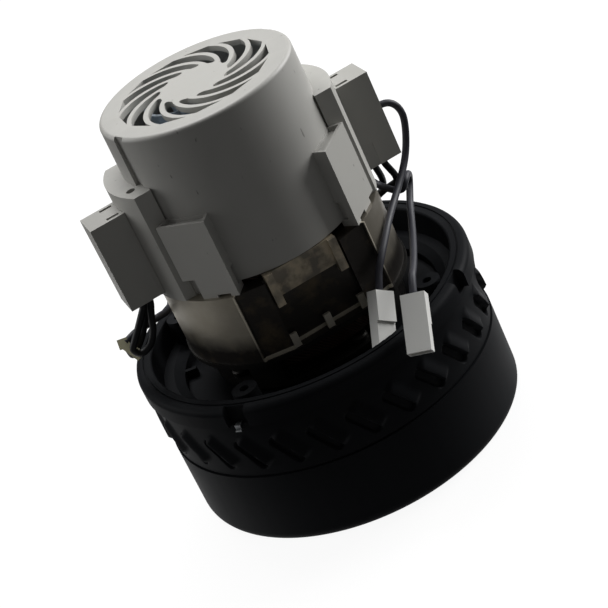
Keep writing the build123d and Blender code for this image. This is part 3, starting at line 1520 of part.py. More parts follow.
# The first two points of a wire, straight out of the notch of a foot block at the back
def out_of_notch(sign_x):
    normal = Vector(sign_x * cos(radians(foot_face_angle)), sin(radians(foot_face_angle)), 0)
    side = Vector(-sign_x * sin(radians(foot_face_angle)), cos(radians(foot_face_angle)), 0)
    start = normal * (foot_face_distance - foot_notch_depth)
    start += side * ((foot_notch_width - foot_face_length) / 2)
    start += Vector(0, 0, wire_exit_height)
    return tuple(start), tuple(start + normal * wire_exit_length)


# The first two points of a wire, straight down out of the bottom of a choke box
def out_of_box(place):
    return (*place, box_bottom), (*place, box_bottom - wire_drop)


# The last two points of a lead, straight into its terminal housing
def into_terminal(top, toward, across):
    plane = lean_plane(top, toward, across)
    return (
        tuple(plane.from_local_coords(Vector(0, 0, -terminal_lead_in))),
        tuple(plane.from_local_coords(Vector(0, 0, terminal_entry_length))),
    )


# Wires: each is one tube along straight runs joined by tangent arcs
out_of_face = (
    (box_end_x, box_shift_y, lead_exit_height),
    (box_end_x + lead_exit_length, box_shift_y, lead_exit_height),
)
wires = {
    "lead_one": (
        (
            *out_of_face,
            *lead_one_route,
            *into_terminal(terminal_one_top, terminal_one_toward, terminal_one_across),
        ),
        lead_diameter,
    ),
    "lead_two": (
        (
            *out_of_notch(1),
            *lead_two_route,
            *into_terminal(terminal_two_top, terminal_two_toward, terminal_two_across),
        ),
        lead_diameter,
    ),
    "loop_wire_right": (
        (
            *out_of_box(loop_wire_right_ends[0]),
            *loop_wire_right_route,
            *reversed(out_of_box(loop_wire_right_ends[1])),
        ),
        jumper_diameter,
    ),
    "loop_wire_left": (
        (
            *out_of_box(loop_wire_left_ends[0]),
            *loop_wire_left_route,
            *reversed(out_of_box(loop_wire_left_ends[1])),
        ),
        jumper_diameter,
    ),
    "drop_wire_left": ((*out_of_box(drop_wire_left_end), *drop_wire_left_route), jumper_diameter),
    "field_wire_left": ((*out_of_notch(-1), *field_wire_left_route), lead_diameter),
}
for wire_label, (route, diameter) in wires.items():
    radii = bend_radii(route)
    with BuildPart() as wire:
        with BuildLine() as wire_line:
            FilletPolyline(*route, radius=radii)
        with BuildSketch(Plane(origin=wire_line.line @ 0, z_dir=wire_line.line % 0)):
            Circle(diameter / 2)
        sweep()
    wire_length = wire_line.wires()[0].length
    expected = pi * (diameter / 2) ** 2 * wire_length
    print(
        wire_label,
        "length", round(wire_length, 1),
        "radii", [round(radius, 1) for radius in radii],
        "volume over section times length", round(wire.part.volume / expected, 4),
    )
    wire.part.label = wire_label
    export_step(wire.part, f"parts/{wire_label}.step")

# Moulded connector on two of the wires at the left: a block with a tail
connector_plane = lean_plane(connector_middle, connector_toward, connector_across)
with BuildPart() as wire_connector:
    with BuildSketch(connector_plane):
        Rectangle(connector_block, connector_block)
        with Locations(Location((0, 0), connector_tail_angle)):
            Rectangle(connector_tail_length, connector_tail_width, align=(Align.MIN, Align.CENTER))
    extrude(amount=connector_depth / 2, both=True)
wire_connector.part.label = "wire_connector"
export_step(wire_connector.part, "parts/wire_connector.step")
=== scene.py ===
import json
import math

import bpy
from mathutils import Matrix, Vector


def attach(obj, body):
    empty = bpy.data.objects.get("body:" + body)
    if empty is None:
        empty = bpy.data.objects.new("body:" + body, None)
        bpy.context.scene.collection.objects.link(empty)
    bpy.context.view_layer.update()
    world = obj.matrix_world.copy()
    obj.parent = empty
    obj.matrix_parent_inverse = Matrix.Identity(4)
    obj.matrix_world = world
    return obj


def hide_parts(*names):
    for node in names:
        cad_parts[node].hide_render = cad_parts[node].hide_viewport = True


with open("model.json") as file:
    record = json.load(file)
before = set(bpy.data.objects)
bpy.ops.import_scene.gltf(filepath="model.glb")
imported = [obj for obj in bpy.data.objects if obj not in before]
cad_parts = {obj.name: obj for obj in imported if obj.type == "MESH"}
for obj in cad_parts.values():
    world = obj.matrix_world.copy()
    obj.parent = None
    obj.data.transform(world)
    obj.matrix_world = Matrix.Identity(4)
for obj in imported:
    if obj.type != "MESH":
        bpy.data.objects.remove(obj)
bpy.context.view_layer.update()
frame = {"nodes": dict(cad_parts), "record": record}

nodes = frame["nodes"]
mm = 0.001


# Colours are written as sRGB hex and turned to linear here
def linear(hexColour):
    channels = [int(hexColour[i:i + 2], 16) / 255 for i in (1, 3, 5)]
    return [c / 12.92 if c <= 0.04045 else ((c + 0.055) / 1.055) ** 2.4 for c in channels] + [1.0]


# Adds one shader node, sets its values and links what feeds it
def addNode(material, kind, settings=None, links=None):
    node = material.node_tree.nodes.new(kind)
    for name, value in (settings or {}).items():
        if isinstance(name, int) or name in node.inputs:
            node.inputs[name].default_value = value
        else:
            setattr(node, name, value)
    for name, source in (links or {}).items():
        material.node_tree.links.new(source, node.inputs[name])
    return node


def newMaterial(name):
    material = bpy.data.materials.new(name)
    material.use_nodes = True
    material.node_tree.nodes.clear()
    return material


def finishMaterial(material, shader):
    addNode(material, "ShaderNodeOutputMaterial", links={"Surface": shader.outputs[0]})
    return material


# Camera and its lens, fitted to the round edges of the drum, the lip and the cover
cameraView = {
    "lens": 118.42,
    "elevation": 27.13,
    "turn": -10.6,
    "roll": -25.63,
    "distance": 820.79 * mm,
    "target": (0, 0, 80 * mm),
    "slide": (6.651 * mm, -10.544 * mm),
}


def makeCamera():
    elevation, roll = math.radians(cameraView["elevation"]), math.radians(cameraView["roll"])
    back = Vector((0, -math.cos(elevation), math.sin(elevation)))
    level = Vector((1, 0, 0))
    rise = back.cross(level)
    right = level * math.cos(roll) + rise * math.sin(roll)
    up = rise * math.cos(roll) - level * math.sin(roll)
    slideRight, slideUp = cameraView["slide"]
    place = Vector(cameraView["target"]) + back * cameraView["distance"] + right * slideRight + up * slideUp
    turn = Matrix.Rotation(math.radians(cameraView["turn"]), 4, "Z")
    camera = bpy.data.objects.new("photoCamera", bpy.data.cameras.new("photoCamera"))
    camera.data.sensor_width = 36
    camera.data.lens = cameraView["lens"]
    camera.data.clip_end = 20
    axes = Matrix((right, up, back)).transposed().to_4x4()
    camera.matrix_world = turn @ Matrix.Translation(place) @ axes
    bpy.context.scene.collection.objects.link(camera)
    bpy.context.scene.camera = camera


# Studio light: a softbox above and behind, one low on the right, a weaker one on the left, a dim room
studio = {
    "lamps": {
        "backSoftbox": {"place": (0.11, 0.64, 1.22), "size": 0.9, "power": 15.5},
        "rightSoftbox": {"place": (1.11, 0.2, 0.5), "size": 0.7, "power": 16.5},
        "leftSoftbox": {"place": (-0.98, 0.56, 0.5), "size": 0.7, "power": 4.8},
    },
    "aim": (0, 0, 0.09),
    "sky": "#FFFFFF",
    "skyPower": 0.1,
    "floorCorners": ((0.017, -0.215), (0.42, 0.46), (0.06, 0.98), (-0.205, 0.02)),
    "floorColour": "#5A5A5A",
    "floorGlow": 0.93,
}


def makeStudio():
    for name, lamp in studio["lamps"].items():
        light = bpy.data.lights.new(name, "AREA")
        light.size = lamp["size"]
        light.energy = lamp["power"]
        holder = bpy.data.objects.new(name, light)
        holder.location = lamp["place"]
        holder.rotation_mode = "QUATERNION"
        holder.rotation_quaternion = (Vector(studio["aim"]) - holder.location).to_track_quat("-Z", "Y")
        bpy.context.scene.collection.objects.link(holder)
    world = bpy.data.worlds.new("studioSky")
    bpy.context.scene.world = world
    world.use_nodes = True
    world.node_tree.nodes.clear()
    sky = addNode(world, "ShaderNodeBackground", {"Color": linear(studio["sky"]), "Strength": studio["skyPower"]})
    addNode(world, "ShaderNodeOutputWorld", links={"Surface": sky.outputs[0]})

    mesh = bpy.data.meshes.new("paperFloor")
    mesh.from_pydata([(x, y, 0) for x, y in studio["floorCorners"]], [], [(0, 1, 2, 3)])
    floor = bpy.data.objects.new("paperFloor", mesh)
    floor.location = (0, 0, -0.2 * mm)
    bpy.context.scene.collection.objects.link(floor)
    # White to the eye through its glow on camera, glossy and transmission rays. The paper itself is a mid grey, so
    # that it throws little light back on the object
    paper = newMaterial("glowingStudioPaper")
    matt = addNode(paper, "ShaderNodeBsdfDiffuse", {"Color": linear(studio["floorColour"])})
    ray = addNode(paper, "ShaderNodeLightPath")
    seen = addNode(paper, "ShaderNodeMath", {"operation": "MAXIMUM"},
                   {0: ray.outputs["Is Camera Ray"], 1: ray.outputs["Is Glossy Ray"]})
    shown = addNode(paper, "ShaderNodeMath", {"operation": "MAXIMUM"},
                    {0: seen.outputs[0], 1: ray.outputs["Is Transmission Ray"]})
    glow = addNode(paper, "ShaderNodeMath", {"operation": "MULTIPLY", 1: studio["floorGlow"]},
                   {0: shown.outputs[0]})
    shine = addNode(paper, "ShaderNodeEmission", {"Color": linear(studio["sky"])}, {"Strength": glow.outputs[0]})
    both = addNode(paper, "ShaderNodeAddShader", links={0: matt.outputs[0], 1: shine.outputs[0]})
    finishMaterial(paper, both)
    mesh.materials.append(paper)


# Moulded plastics. Grain is the size of the spark-eroded texture of the mould, in mm
mouldedPlastics = {
    # PA66 with glass fibre, black, with a faint grey bloom where the fibre comes up. Its shine, the specular
    # level, is far under a real plastic's 0.5, because the photo shows it nearly black
    "blackGlassFilledNylon": {"colour": "#151618", "bloom": "#1C1D1F", "roughness": 0.5, "grain": 0.9,
                              "depth": 0.012, "edgeWearAndHighlight": "#2A2B2D", "edge": 0.35, "ior": 1.53, "shine": 0.02},
    # PBT, warm light grey: even satin skin, a little darker in patches, with a few dark scuffs of 1 to 2 mm
    "warmGreyPolyester": {"colour": "#AEADA9", "bloom": "#A3A29D", "roughness": 0.5, "grain": 0.8,
                          "depth": 0.01, "edgeWearAndHighlight": "#B5B4AE", "edge": 0.4, "ior": 1.56, "scuff": "#4C4A45",
                          "scuffSize": 2.2, "scuffFrom": 0.75, "scuffTo": 0.8, "scuffDepth": 0.55},
    # ABS, the same warm light grey as the cover: the choke boxes' shell
    "warmGreyAbs": {"colour": "#ABAAA6", "bloom": "#A1A09B", "roughness": 0.5, "grain": 0.8,
                   "depth": 0.01, "edgeWearAndHighlight": "#A2A19B", "edge": 0.5, "ior": 1.54},
    # Heat resistant polyamide, beige: the coil formers, stained dark in patches by the dipped varnish
    "beigePolyamide": {"colour": "#BBAB8F", "bloom": "#1E1915", "roughness": 0.42, "grain": 1.2, "patch": 7.0,
                       "spread": 0.1, "depth": 0.01, "edgeWearAndHighlight": "#C9BEA9", "edge": 0.4, "ior": 1.53},
    # PA6, milky: the insulating housings of the tab terminals
    "milkyNylon": {"colour": "#E4E4E0", "bloom": "#D6D6D1", "roughness": 0.4, "grain": 1.4,
                   "depth": 0.006, "edgeWearAndHighlight": "#EFEFEC", "edge": 0.5, "ior": 1.53},
    # PVC, cream gone grey: the small wire connector
    "creamVinyl": {"colour": "#F4EFC9", "bloom": "#E2DCB4", "roughness": 0.45, "grain": 0.9,
                   "depth": 0.008, "edgeWearAndHighlight": "#E4E0C4", "edge": 0.4, "ior": 1.54},
    # Polypropylene, bluish white: the cooling fan
    "bluishPolypropylene": {"colour": "#B9C4CE", "bloom": "#A9B5C0", "roughness": 0.35, "grain": 1.5,
                            "depth": 0.005, "edgeWearAndHighlight": "#D2DAE0", "edge": 0.3, "ior": 1.49},
    # Phenolic, brown: the commutator's hub
    "brownPhenolic": {"colour": "#3B2A22", "bloom": "#2E211B", "roughness": 0.5, "grain": 0.6,
                      "depth": 0.01, "edgeWearAndHighlight": "#54423A", "edge": 0.3, "ior": 1.6},
    # Electrographite: the brushes, dull with a dark grey sheen
    "electrographite": {"colour": "#26262A", "bloom": "#1C1C20", "roughness": 0.6, "grain": 0.4,
                        "depth": 0.01, "edgeWearAndHighlight": "#4A4A50", "edge": 0.4, "ior": 1.8},
    # Ferrite: the choke cores
    "greyFerrite": {"colour": "#35363A", "bloom": "#2B2C30", "roughness": 0.55, "grain": 0.5,
                    "depth": 0.012, "edgeWearAndHighlight": "#515257", "edge": 0.3, "ior": 1.9},
}


def mouldedPlastic(name, look):
    material = newMaterial(name)
    place = addNode(material, "ShaderNodeTexCoord")
    # Slow patches, 18 mm where the melt cooled at different rates and smaller where varnish stained it
    patches = addNode(material, "ShaderNodeTexNoise",
                      {"Scale": 1 / (look.get("patch", 18.0) * mm), "Detail": 3.0, "Roughness": 0.55},
                      {"Vector": place.outputs["Object"]})
    spread = look.get("spread", 0.5)
    stain = addNode(material, "ShaderNodeMapRange", {"From Min": 0.5 - spread, "From Max": 0.5 + spread},
                    {"Value": patches.outputs["Fac"]})
    grain = addNode(material, "ShaderNodeTexNoise", {"Scale": 1 / (look["grain"] * mm), "Detail": 4.0},
                    {"Vector": place.outputs["Object"]})
    tint = addNode(material, "ShaderNodeMixRGB", {"Color1": linear(look["colour"]), "Color2": linear(look["bloom"])},
                   {"Fac": stain.outputs[0]})
    # Outward edges take the edge colour: partly handling wear, partly a painted highlight where a rounded edge would
    # catch light
    form = addNode(material, "ShaderNodeNewGeometry")
    edge = addNode(material, "ShaderNodeMapRange", {"From Min": 0.52, "From Max": 0.60, "To Max": look["edge"]},
                   {"Value": form.outputs["Pointiness"]})
    edgeTone = addNode(material, "ShaderNodeMixRGB", {"Color2": linear(look["edgeWearAndHighlight"])},
                     {"Fac": edge.outputs[0], "Color1": tint.outputs[0]})
    if "scuff" in look:
        # Scuffs are drawn out along the height
        along = addNode(material, "ShaderNodeMapping", {"Scale": (1.0, 1.0, 0.4)},
                        {"Vector": place.outputs["Object"]})
        marks = addNode(material, "ShaderNodeTexNoise", {"Scale": 1 / (look["scuffSize"] * mm), "Detail": 1.0},
                        {"Vector": along.outputs[0]})
        mark = addNode(material, "ShaderNodeMapRange",
                       {"From Min": look["scuffFrom"], "From Max": look["scuffTo"], "To Max": look["scuffDepth"]},
                       {"Value": marks.outputs["Fac"]})
        edgeTone = addNode(material, "ShaderNodeMixRGB", {"Color2": linear(look["scuff"])},
                         {"Fac": mark.outputs[0], "Color1": edgeTone.outputs[0]})
    sheen = addNode(material, "ShaderNodeMapRange",
                    {"To Min": look["roughness"] - 0.05, "To Max": look["roughness"] + 0.08},
                    {"Value": patches.outputs["Fac"]})
    skin = addNode(material, "ShaderNodeBump", {"Strength": 0.5, "Distance": look["depth"] * mm},
                   {"Height": grain.outputs["Fac"]})
    shader = addNode(material, "ShaderNodeBsdfPrincipled",
                     {"IOR": look["ior"], "Specular IOR Level": look.get("shine", 0.5)},
                     {"Base Color": edgeTone.outputs[0], "Roughness": sheen.outputs[0], "Normal": skin.outputs[0]})
    return finishMaterial(material, shader)


# Metals. Lines is the spacing of the brush or rolling lines, in mm, and along is the axis they cross
metals = {
    # Zinc plate on pressed steel: bright, slightly blue, with soft clouds
    "zincPlatedSteel": {"colour": "#A9ABAD", "dark": "#7E8184", "roughness": 0.32, "lines": 0.9, "along": "Z"},
    # Ground bearing steel: mirror-like, with fine turning lines
    "groundSteel": {"colour": "#B9BBBE", "dark": "#9A9CA0", "roughness": 0.2, "lines": 0.5, "along": "Z"},
    # Drawn spring wire
    "springSteel": {"colour": "#8F9093", "dark": "#6D6E71", "roughness": 0.3, "lines": 0.6, "along": "X"},
    # Steel painted near black as shade: the bracket under the stator and its screws, deep in the well. Above
    # 72.9 mm the bracket's tabs are light
    "shadePaintedSteel": {"colour": "#3A3937", "dark": "#242322", "roughness": 0.5, "lines": 0.8, "along": "Z",
                        "lightTabs": "#D8D3C6", "lightAbove": 72.9},
    # Rolled aluminium sheet: soft and pale
    "rolledAluminium": {"colour": "#C3C5C7", "dark": "#A7A9AC", "roughness": 0.38, "lines": 1.0, "along": "X"},
    # Bare copper of the commutator bars
    "bareCopper": {"colour": "#C0764C", "dark": "#8F5233", "roughness": 0.3, "lines": 0.5, "along": "Z"},
    # Brass strip of the holders and terminals
    "brassStrip": {"colour": "#C7A35A", "dark": "#9A7A3C", "roughness": 0.28, "lines": 0.7, "along": "Z"},
}


def metal(name, look):
    material = newMaterial(name)
    place = addNode(material, "ShaderNodeTexCoord")
    stretch = {"X": (0.05, 1, 1), "Z": (1, 1, 0.05)}[look["along"]]
    laid = addNode(material, "ShaderNodeMapping", {"Scale": stretch}, {"Vector": place.outputs["Object"]})
    lines = addNode(material, "ShaderNodeTexNoise", {"Scale": 1 / (look["lines"] * mm), "Detail": 4.0},
                    {"Vector": laid.outputs[0]})
    clouds = addNode(material, "ShaderNodeTexNoise", {"Scale": 1 / (9 * mm), "Detail": 4.0},
                     {"Vector": place.outputs["Object"]})
    tint = addNode(material, "ShaderNodeMixRGB", {"Color1": linear(look["colour"]), "Color2": linear(look["dark"])},
                   {"Fac": clouds.outputs["Fac"]})
    # Above the given height the steel is light: the bracket's tabs
    if "lightTabs" in look:
        height = addNode(material, "ShaderNodeSeparateXYZ", links={0: place.outputs["Object"]})
        above = addNode(material, "ShaderNodeMath", {"operation": "GREATER_THAN", 1: look["lightAbove"] * mm},
                        {0: height.outputs["Z"]})
        tint = addNode(material, "ShaderNodeMixRGB", {"Color2": linear(look["lightTabs"])},
                       {"Fac": above.outputs[0], "Color1": tint.outputs[0]})
    rough = addNode(material, "ShaderNodeMapRange",
                    {"To Min": look["roughness"] - 0.08, "To Max": look["roughness"] + 0.12},
                    {"Value": lines.outputs["Fac"]})
    ridges = addNode(material, "ShaderNodeBump", {"Strength": 0.3, "Distance": 0.01 * mm},
                     {"Height": lines.outputs["Fac"]})
    shader = addNode(material, "ShaderNodeBsdfPrincipled", {"Metallic": 1.0},
                     {"Base Color": tint.outputs[0], "Roughness": rough.outputs[0], "Normal": ridges.outputs[0]})
    return finishMaterial(material, shader)


# Silicon steel laminations: satin, warm grey at the sides; between the weld seams and round the foot they are
# painted nearly black as shade. The seams are bare and bright. Sizes and heights in mm
laminations = {
    "sheet": 1.0,  # a real sheet is 0.5, too fine to show
    "cloud": 11.0,
    "pale": "#B8B2A6",
    "dull": "#97907F",
    "paintedShade": "#35322F",
    "paintedShadeBrown": "#5A5040",
    "seam": "#CFC8B8",
    "seamAngle": 52.5,
    "seamWidth": 0.35,
    "paintedShadeTop": 82.0,
    "paintedShadeFade": 8.0,
    "rim": "#D6CFBE",
    "rimTop": 74.4,
    "sideShade": 0.55,
    "sideShadeFrom": 5.0,
    "sideShadeTo": 30.0,
    "seamLow": 0.15,  # how much of the seam's brightness is left under the painted shade
    "roughness": 0.4,
}


def laminatedSteel():
    look = laminations
    material = newMaterial("stackedSiliconSteel")
    place = addNode(material, "ShaderNodeTexCoord").outputs["Object"]
    sheets = addNode(material, "ShaderNodeTexWave",
                     {"bands_direction": "Z", "Scale": 2 * math.pi / (20 * look["sheet"] * mm), "Distortion": 0.4,
                      "Detail": 1.0, "Detail Scale": 0.5}, {"Vector": place})
    clouds = addNode(material, "ShaderNodeTexNoise",
                     {"Scale": 1 / (look["cloud"] * mm), "Detail": 5.0, "Roughness": 0.6}, {"Vector": place})
    bare = addNode(material, "ShaderNodeMixRGB", {"Color1": linear(look["pale"]), "Color2": linear(look["dull"])},
                   {"Fac": clouds.outputs["Fac"]})
    # The painted shade turns brown in patches where the clouds run high
    brownInShade = addNode(material, "ShaderNodeMapRange", {"From Min": 0.52, "From Max": 0.72},
                   {"Value": clouds.outputs["Fac"]})
    shadeColour = addNode(material, "ShaderNodeMixRGB", {"Color1": linear(look["paintedShade"]), "Color2": linear(look["paintedShadeBrown"])},
                   {"Fac": brownInShade.outputs[0]})
    # How far a point lies round from the nearest seam: below zero at the front and the back
    quarter = addNode(material, "ShaderNodeVectorMath", {"operation": "ABSOLUTE"}, {0: place})
    angle = math.radians(look["seamAngle"])
    around = addNode(material, "ShaderNodeVectorMath",
                     {"operation": "DOT_PRODUCT", 1: (math.sin(angle), -math.cos(angle), 0)}, {0: quarter.outputs[0]})
    # Painted shade between the weld seams at the front and the back
    front = addNode(material, "ShaderNodeMapRange", {"From Min": 0.2 * mm, "From Max": -0.4 * mm},
                    {"Value": around.outputs["Value"]})
    height = addNode(material, "ShaderNodeSeparateXYZ", links={0: place})
    # Painted shade round the foot, darker towards the bottom, with a ragged top edge
    ragged = addNode(material, "ShaderNodeMath", {"operation": "MULTIPLY_ADD", 1: look["paintedShadeFade"] * mm},
                     {0: clouds.outputs["Fac"], 2: height.outputs["Z"]})
    low = addNode(material, "ShaderNodeMapRange",
                  {"From Min": (look["paintedShadeTop"] + look["paintedShadeFade"]) * mm, "From Max": look["paintedShadeTop"] * mm},
                  {"Value": ragged.outputs[0]})
    shadeMask = addNode(material, "ShaderNodeMath", {"operation": "MAXIMUM"}, {0: front.outputs[0], 1: low.outputs[0]})
    skin = addNode(material, "ShaderNodeMixRGB", links={"Fac": shadeMask.outputs[0], "Color1": bare.outputs[0],
                                                        "Color2": shadeColour.outputs[0]})
    # The right side is darkened with painted shade right up to the cover
    side = addNode(material, "ShaderNodeMapRange",
                   {"From Min": look["sideShadeFrom"] * mm, "From Max": look["sideShadeTo"] * mm, "To Max": look["sideShade"]},
                   {"Value": height.outputs["X"]})
    sideShaded = addNode(material, "ShaderNodeMixRGB", {"Color2": linear(look["paintedShade"])},
                     {"Fac": side.outputs[0], "Color1": skin.outputs[0]})
    # The lowest sheets are light at the front and the back
    lowest = addNode(material, "ShaderNodeMath", {"operation": "LESS_THAN", 1: look["rimTop"] * mm},
                     {0: height.outputs["Z"]})
    edgeTone = addNode(material, "ShaderNodeMath", {"operation": "MULTIPLY"},
                     {0: lowest.outputs[0], 1: front.outputs[0]})
    foot = addNode(material, "ShaderNodeMixRGB", {"Color2": linear(look["rim"])},
                   {"Fac": edgeTone.outputs[0], "Color1": sideShaded.outputs[0]})
    aside = addNode(material, "ShaderNodeMath", {"operation": "ABSOLUTE"}, {0: around.outputs["Value"]})
    weld = addNode(material, "ShaderNodeMath", {"operation": "LESS_THAN", 1: look["seamWidth"] * mm},
                   {0: aside.outputs[0]})
    clear = addNode(material, "ShaderNodeMapRange", {"From Min": 1.0, "From Max": 0.0, "To Min": look["seamLow"]},
                    {"Value": low.outputs[0]})
    bright = addNode(material, "ShaderNodeMath", {"operation": "MULTIPLY"},
                     {0: weld.outputs[0], 1: clear.outputs[0]})
    colour = addNode(material, "ShaderNodeMixRGB", {"Color2": linear(look["seam"])},
                     {"Fac": bright.outputs[0], "Color1": foot.outputs[0]})
    rough = addNode(material, "ShaderNodeMapRange",
                    {"To Min": look["roughness"] - 0.06, "To Max": look["roughness"] + 0.12},
                    {"Value": clouds.outputs["Fac"]})
    relief = addNode(material, "ShaderNodeBump", {"Strength": 0.35, "Distance": 0.04 * mm},
                     {"Height": sheets.outputs["Fac"]})
    shader = addNode(material, "ShaderNodeBsdfPrincipled", {"Metallic": 0.7},
                     {"Base Color": colour.outputs[0], "Roughness": rough.outputs[0], "Normal": relief.outputs[0]})
    return finishMaterial(material, shader)


# Enamelled copper wire: strands of 0.8 mm side by side, baked nearly black under dipped varnish
windings = {"strand": 0.8, "bright": "#3A2418", "dark": "#150D09", "roughness": 0.35}


def enamelledCopper():
    look = windings
    material = newMaterial("enamelledCopperWire")
    place = addNode(material, "ShaderNodeTexCoord")
    strands = addNode(material, "ShaderNodeTexWave",
                      {"bands_direction": "DIAGONAL", "Scale": 2 * math.pi / (20 * look["strand"] * mm),
                       "Distortion": 1.5, "Detail": 2.0, "Detail Scale": 1.0}, {"Vector": place.outputs["Object"]})
    tint = addNode(material, "ShaderNodeMixRGB", {"Color1": linear(look["dark"]), "Color2": linear(look["bright"])},
                   {"Fac": strands.outputs["Fac"]})
    relief = addNode(material, "ShaderNodeBump", {"Strength": 0.8, "Distance": 0.25 * mm},
                     {"Height": strands.outputs["Fac"]})
    shader = addNode(material, "ShaderNodeBsdfPrincipled",
                     {"Metallic": 0.6, "Roughness": look["roughness"], "Coat Weight": 0.6},
                     {"Base Color": tint.outputs[0], "Normal": relief.outputs[0]})
    return finishMaterial(material, shader)


# Extruded PVC insulation: smooth, soft sheen, a little dust
insulations = {
    "greyVinyl": {"colour": "#2C2C33", "dust": "#37383F", "roughness": 0.5},
    "darkVinyl": {"colour": "#121315", "dust": "#1C1D20", "roughness": 0.5},
}


def extrudedVinyl(name, look):
    material = newMaterial(name)
    place = addNode(material, "ShaderNodeTexCoord")
    dust = addNode(material, "ShaderNodeTexNoise", {"Scale": 1 / (6 * mm), "Detail": 4.0},
                   {"Vector": place.outputs["Object"]})
    tint = addNode(material, "ShaderNodeMixRGB", {"Color1": linear(look["colour"]), "Color2": linear(look["dust"])},
                   {"Fac": dust.outputs["Fac"]})
    rough = addNode(material, "ShaderNodeMapRange",
                    {"To Min": look["roughness"] - 0.08, "To Max": look["roughness"] + 0.1},
                    {"Value": dust.outputs["Fac"]})
    skin = addNode(material, "ShaderNodeBump", {"Strength": 0.3, "Distance": 0.02 * mm},
                   {"Height": dust.outputs["Fac"]})
    shader = addNode(material, "ShaderNodeBsdfPrincipled", {"IOR": 1.54, "Specular IOR Level": 0.25},
                     {"Base Color": tint.outputs[0], "Roughness": rough.outputs[0], "Normal": skin.outputs[0]})
    return finishMaterial(material, shader)


makeCamera()
makeStudio()
print("camera and studio made")

finishes = {name: mouldedPlastic(name, look) for name, look in mouldedPlastics.items()}
finishes.update({name: metal(name, look) for name, look in metals.items()})
finishes.update({name: extrudedVinyl(name, look) for name, look in insulations.items()})
finishes["stackedSiliconSteel"] = laminatedSteel()
finishes["enamelledCopperWire"] = enamelledCopper()

# The finish of each CAD node, by the record's slot
slotFinish = {
    "black_plastic": "blackGlassFilledNylon",
    "cover_plastic": "warmGreyPolyester",
    "box_plastic": "warmGreyAbs",
    "lamination_steel": "stackedSiliconSteel",
    "plated_steel": "zincPlatedSteel",
    "bearing_steel": "groundSteel",
    "spring_steel": "springSteel",
    "fan_aluminium": "rolledAluminium",
    "copper": "enamelledCopperWire",
    "brass": "brassStrip",
    "carbon": "electrographite",
    "moulding_compound": "brownPhenolic",
    "ferrite": "greyFerrite",
    "former_plastic": "beigePolyamide",
    "cooler_plastic": "bluishPolypropylene",
    "housing_nylon": "milkyNylon",
    "connector_plastic": "creamVinyl",
    "grey_insulation": "greyVinyl",
    "dark_insulation": "darkVinyl",
}
# The bracket and its screws: steel painted near black as shade
nodeFinish = {"commutator": "bareCopper", "bracket_screws": "shadePaintedSteel", "drive_bracket": "shadePaintedSteel"}
for part in frame["record"]["subparts"]:
    mesh = nodes[part["node"]].data
    mesh.materials.clear()
    mesh.materials.append(finishes[nodeFinish.get(part["node"], slotFinish[part["material_slot"]])])
print("finishes on", len(nodes), "nodes")

# Exhaust band: each slot opens under a soft swelling of the wall, which the CAD gives as a plain wedge
band = {
    "low": 34.5, "high": 61.0, "radius": 71.9, "inner": 70.3, "chamfer": 0.6,
    "slots": 28, "firstSlot": -34.5, "slotMiddle": 45.5, "slotRun": 9.5, "slotDrop": 13.0, "slotWidth": 3.8,
    "swell": 1.85, "swellRun": 6.2, "lipRun": 0.5, "endRun": 2.6,
    "columns": 28 * 44, "rows": 56,
}


# Falls from 1 to 0 on a half cosine as the share goes from 0 to 1
def easeOut(share):
    share = min(max(share, 0.0), 1.0)
    return 0.5 + 0.5 * math.cos(math.pi * share)


# How far the wall swells out at a point, in mm, and how open the slot is there, from 0 to 1. Around is the way
# round from the slot's middle, rise the height above it
def bandRelief(around, rise):
    length = math.hypot(band["slotRun"], band["slotDrop"])
    along = (around * band["slotRun"] - rise * band["slotDrop"]) / length
    across = (around * band["slotDrop"] + rise * band["slotRun"]) / length
    half = band["slotWidth"] / 2
    past = max(abs(along) - length / 2 + half, 0.0)
    outside = math.hypot(past, across) - half
    gap = easeOut((outside + 0.25) / 0.5)
    swell = band["swell"] * easeOut((across - half) / band["swellRun"]) * easeOut((half - across) / band["lipRun"])
    swell *= easeOut((abs(along) - length / 2 + half) / band["endRun"])
    return swell, gap


def makeExhaustBand():
    columns, rows = band["columns"], band["rows"]
    spacing = 2 * math.pi * band["radius"] / band["slots"]
    corners = []
    for row in range(rows + 1):
        height = band["low"] + (band["high"] - band["low"]) * row / rows
        foot = max(band["chamfer"] - height + band["low"], 0.0)
        for column in range(columns):
            turn = 2 * math.pi * column / columns
            start = (turn - math.radians(band["firstSlot"])) * band["radius"]
            around = (start + spacing / 2) % spacing - spacing / 2
            near = [bandRelief(around + step * spacing, height - band["slotMiddle"]) for step in (-1, 0, 1)]
            wall = band["radius"] - foot + max(swell for swell, gap in near)
            gap = max(gap for swell, gap in near)
            radius = wall + (band["inner"] + 0.1 - wall) * gap
            corners.append((radius * mm * math.cos(turn), radius * mm * math.sin(turn), height * mm))
    for height in (band["high"], band["low"]):
        for column in range(columns):
            turn = 2 * math.pi * column / columns
            corners.append((band["inner"] * mm * math.cos(turn), band["inner"] * mm * math.sin(turn), height * mm))
    faces = []
    for row in range(rows + 3):
        low, high = row * columns, (row + 1) % (rows + 3) * columns
        for column in range(columns):
            after = (column + 1) % columns
            faces.append((low + column, low + after, high + after, high + column))
    mesh = bpy.data.meshes.new("exhaustBandSkin")
    mesh.from_pydata(corners, [], faces)
    mesh.shade_smooth()
    mesh.set_sharp_from_angle(angle=math.radians(50))
    mesh.materials.append(finishes["blackGlassFilledNylon"])
    piece = bpy.data.objects.new("exhaustBandSkin", mesh)
    bpy.context.scene.collection.objects.link(piece)
    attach(piece, "housing")
    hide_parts("exhaust_band")


makeExhaustBand()
print("exhaust band made")

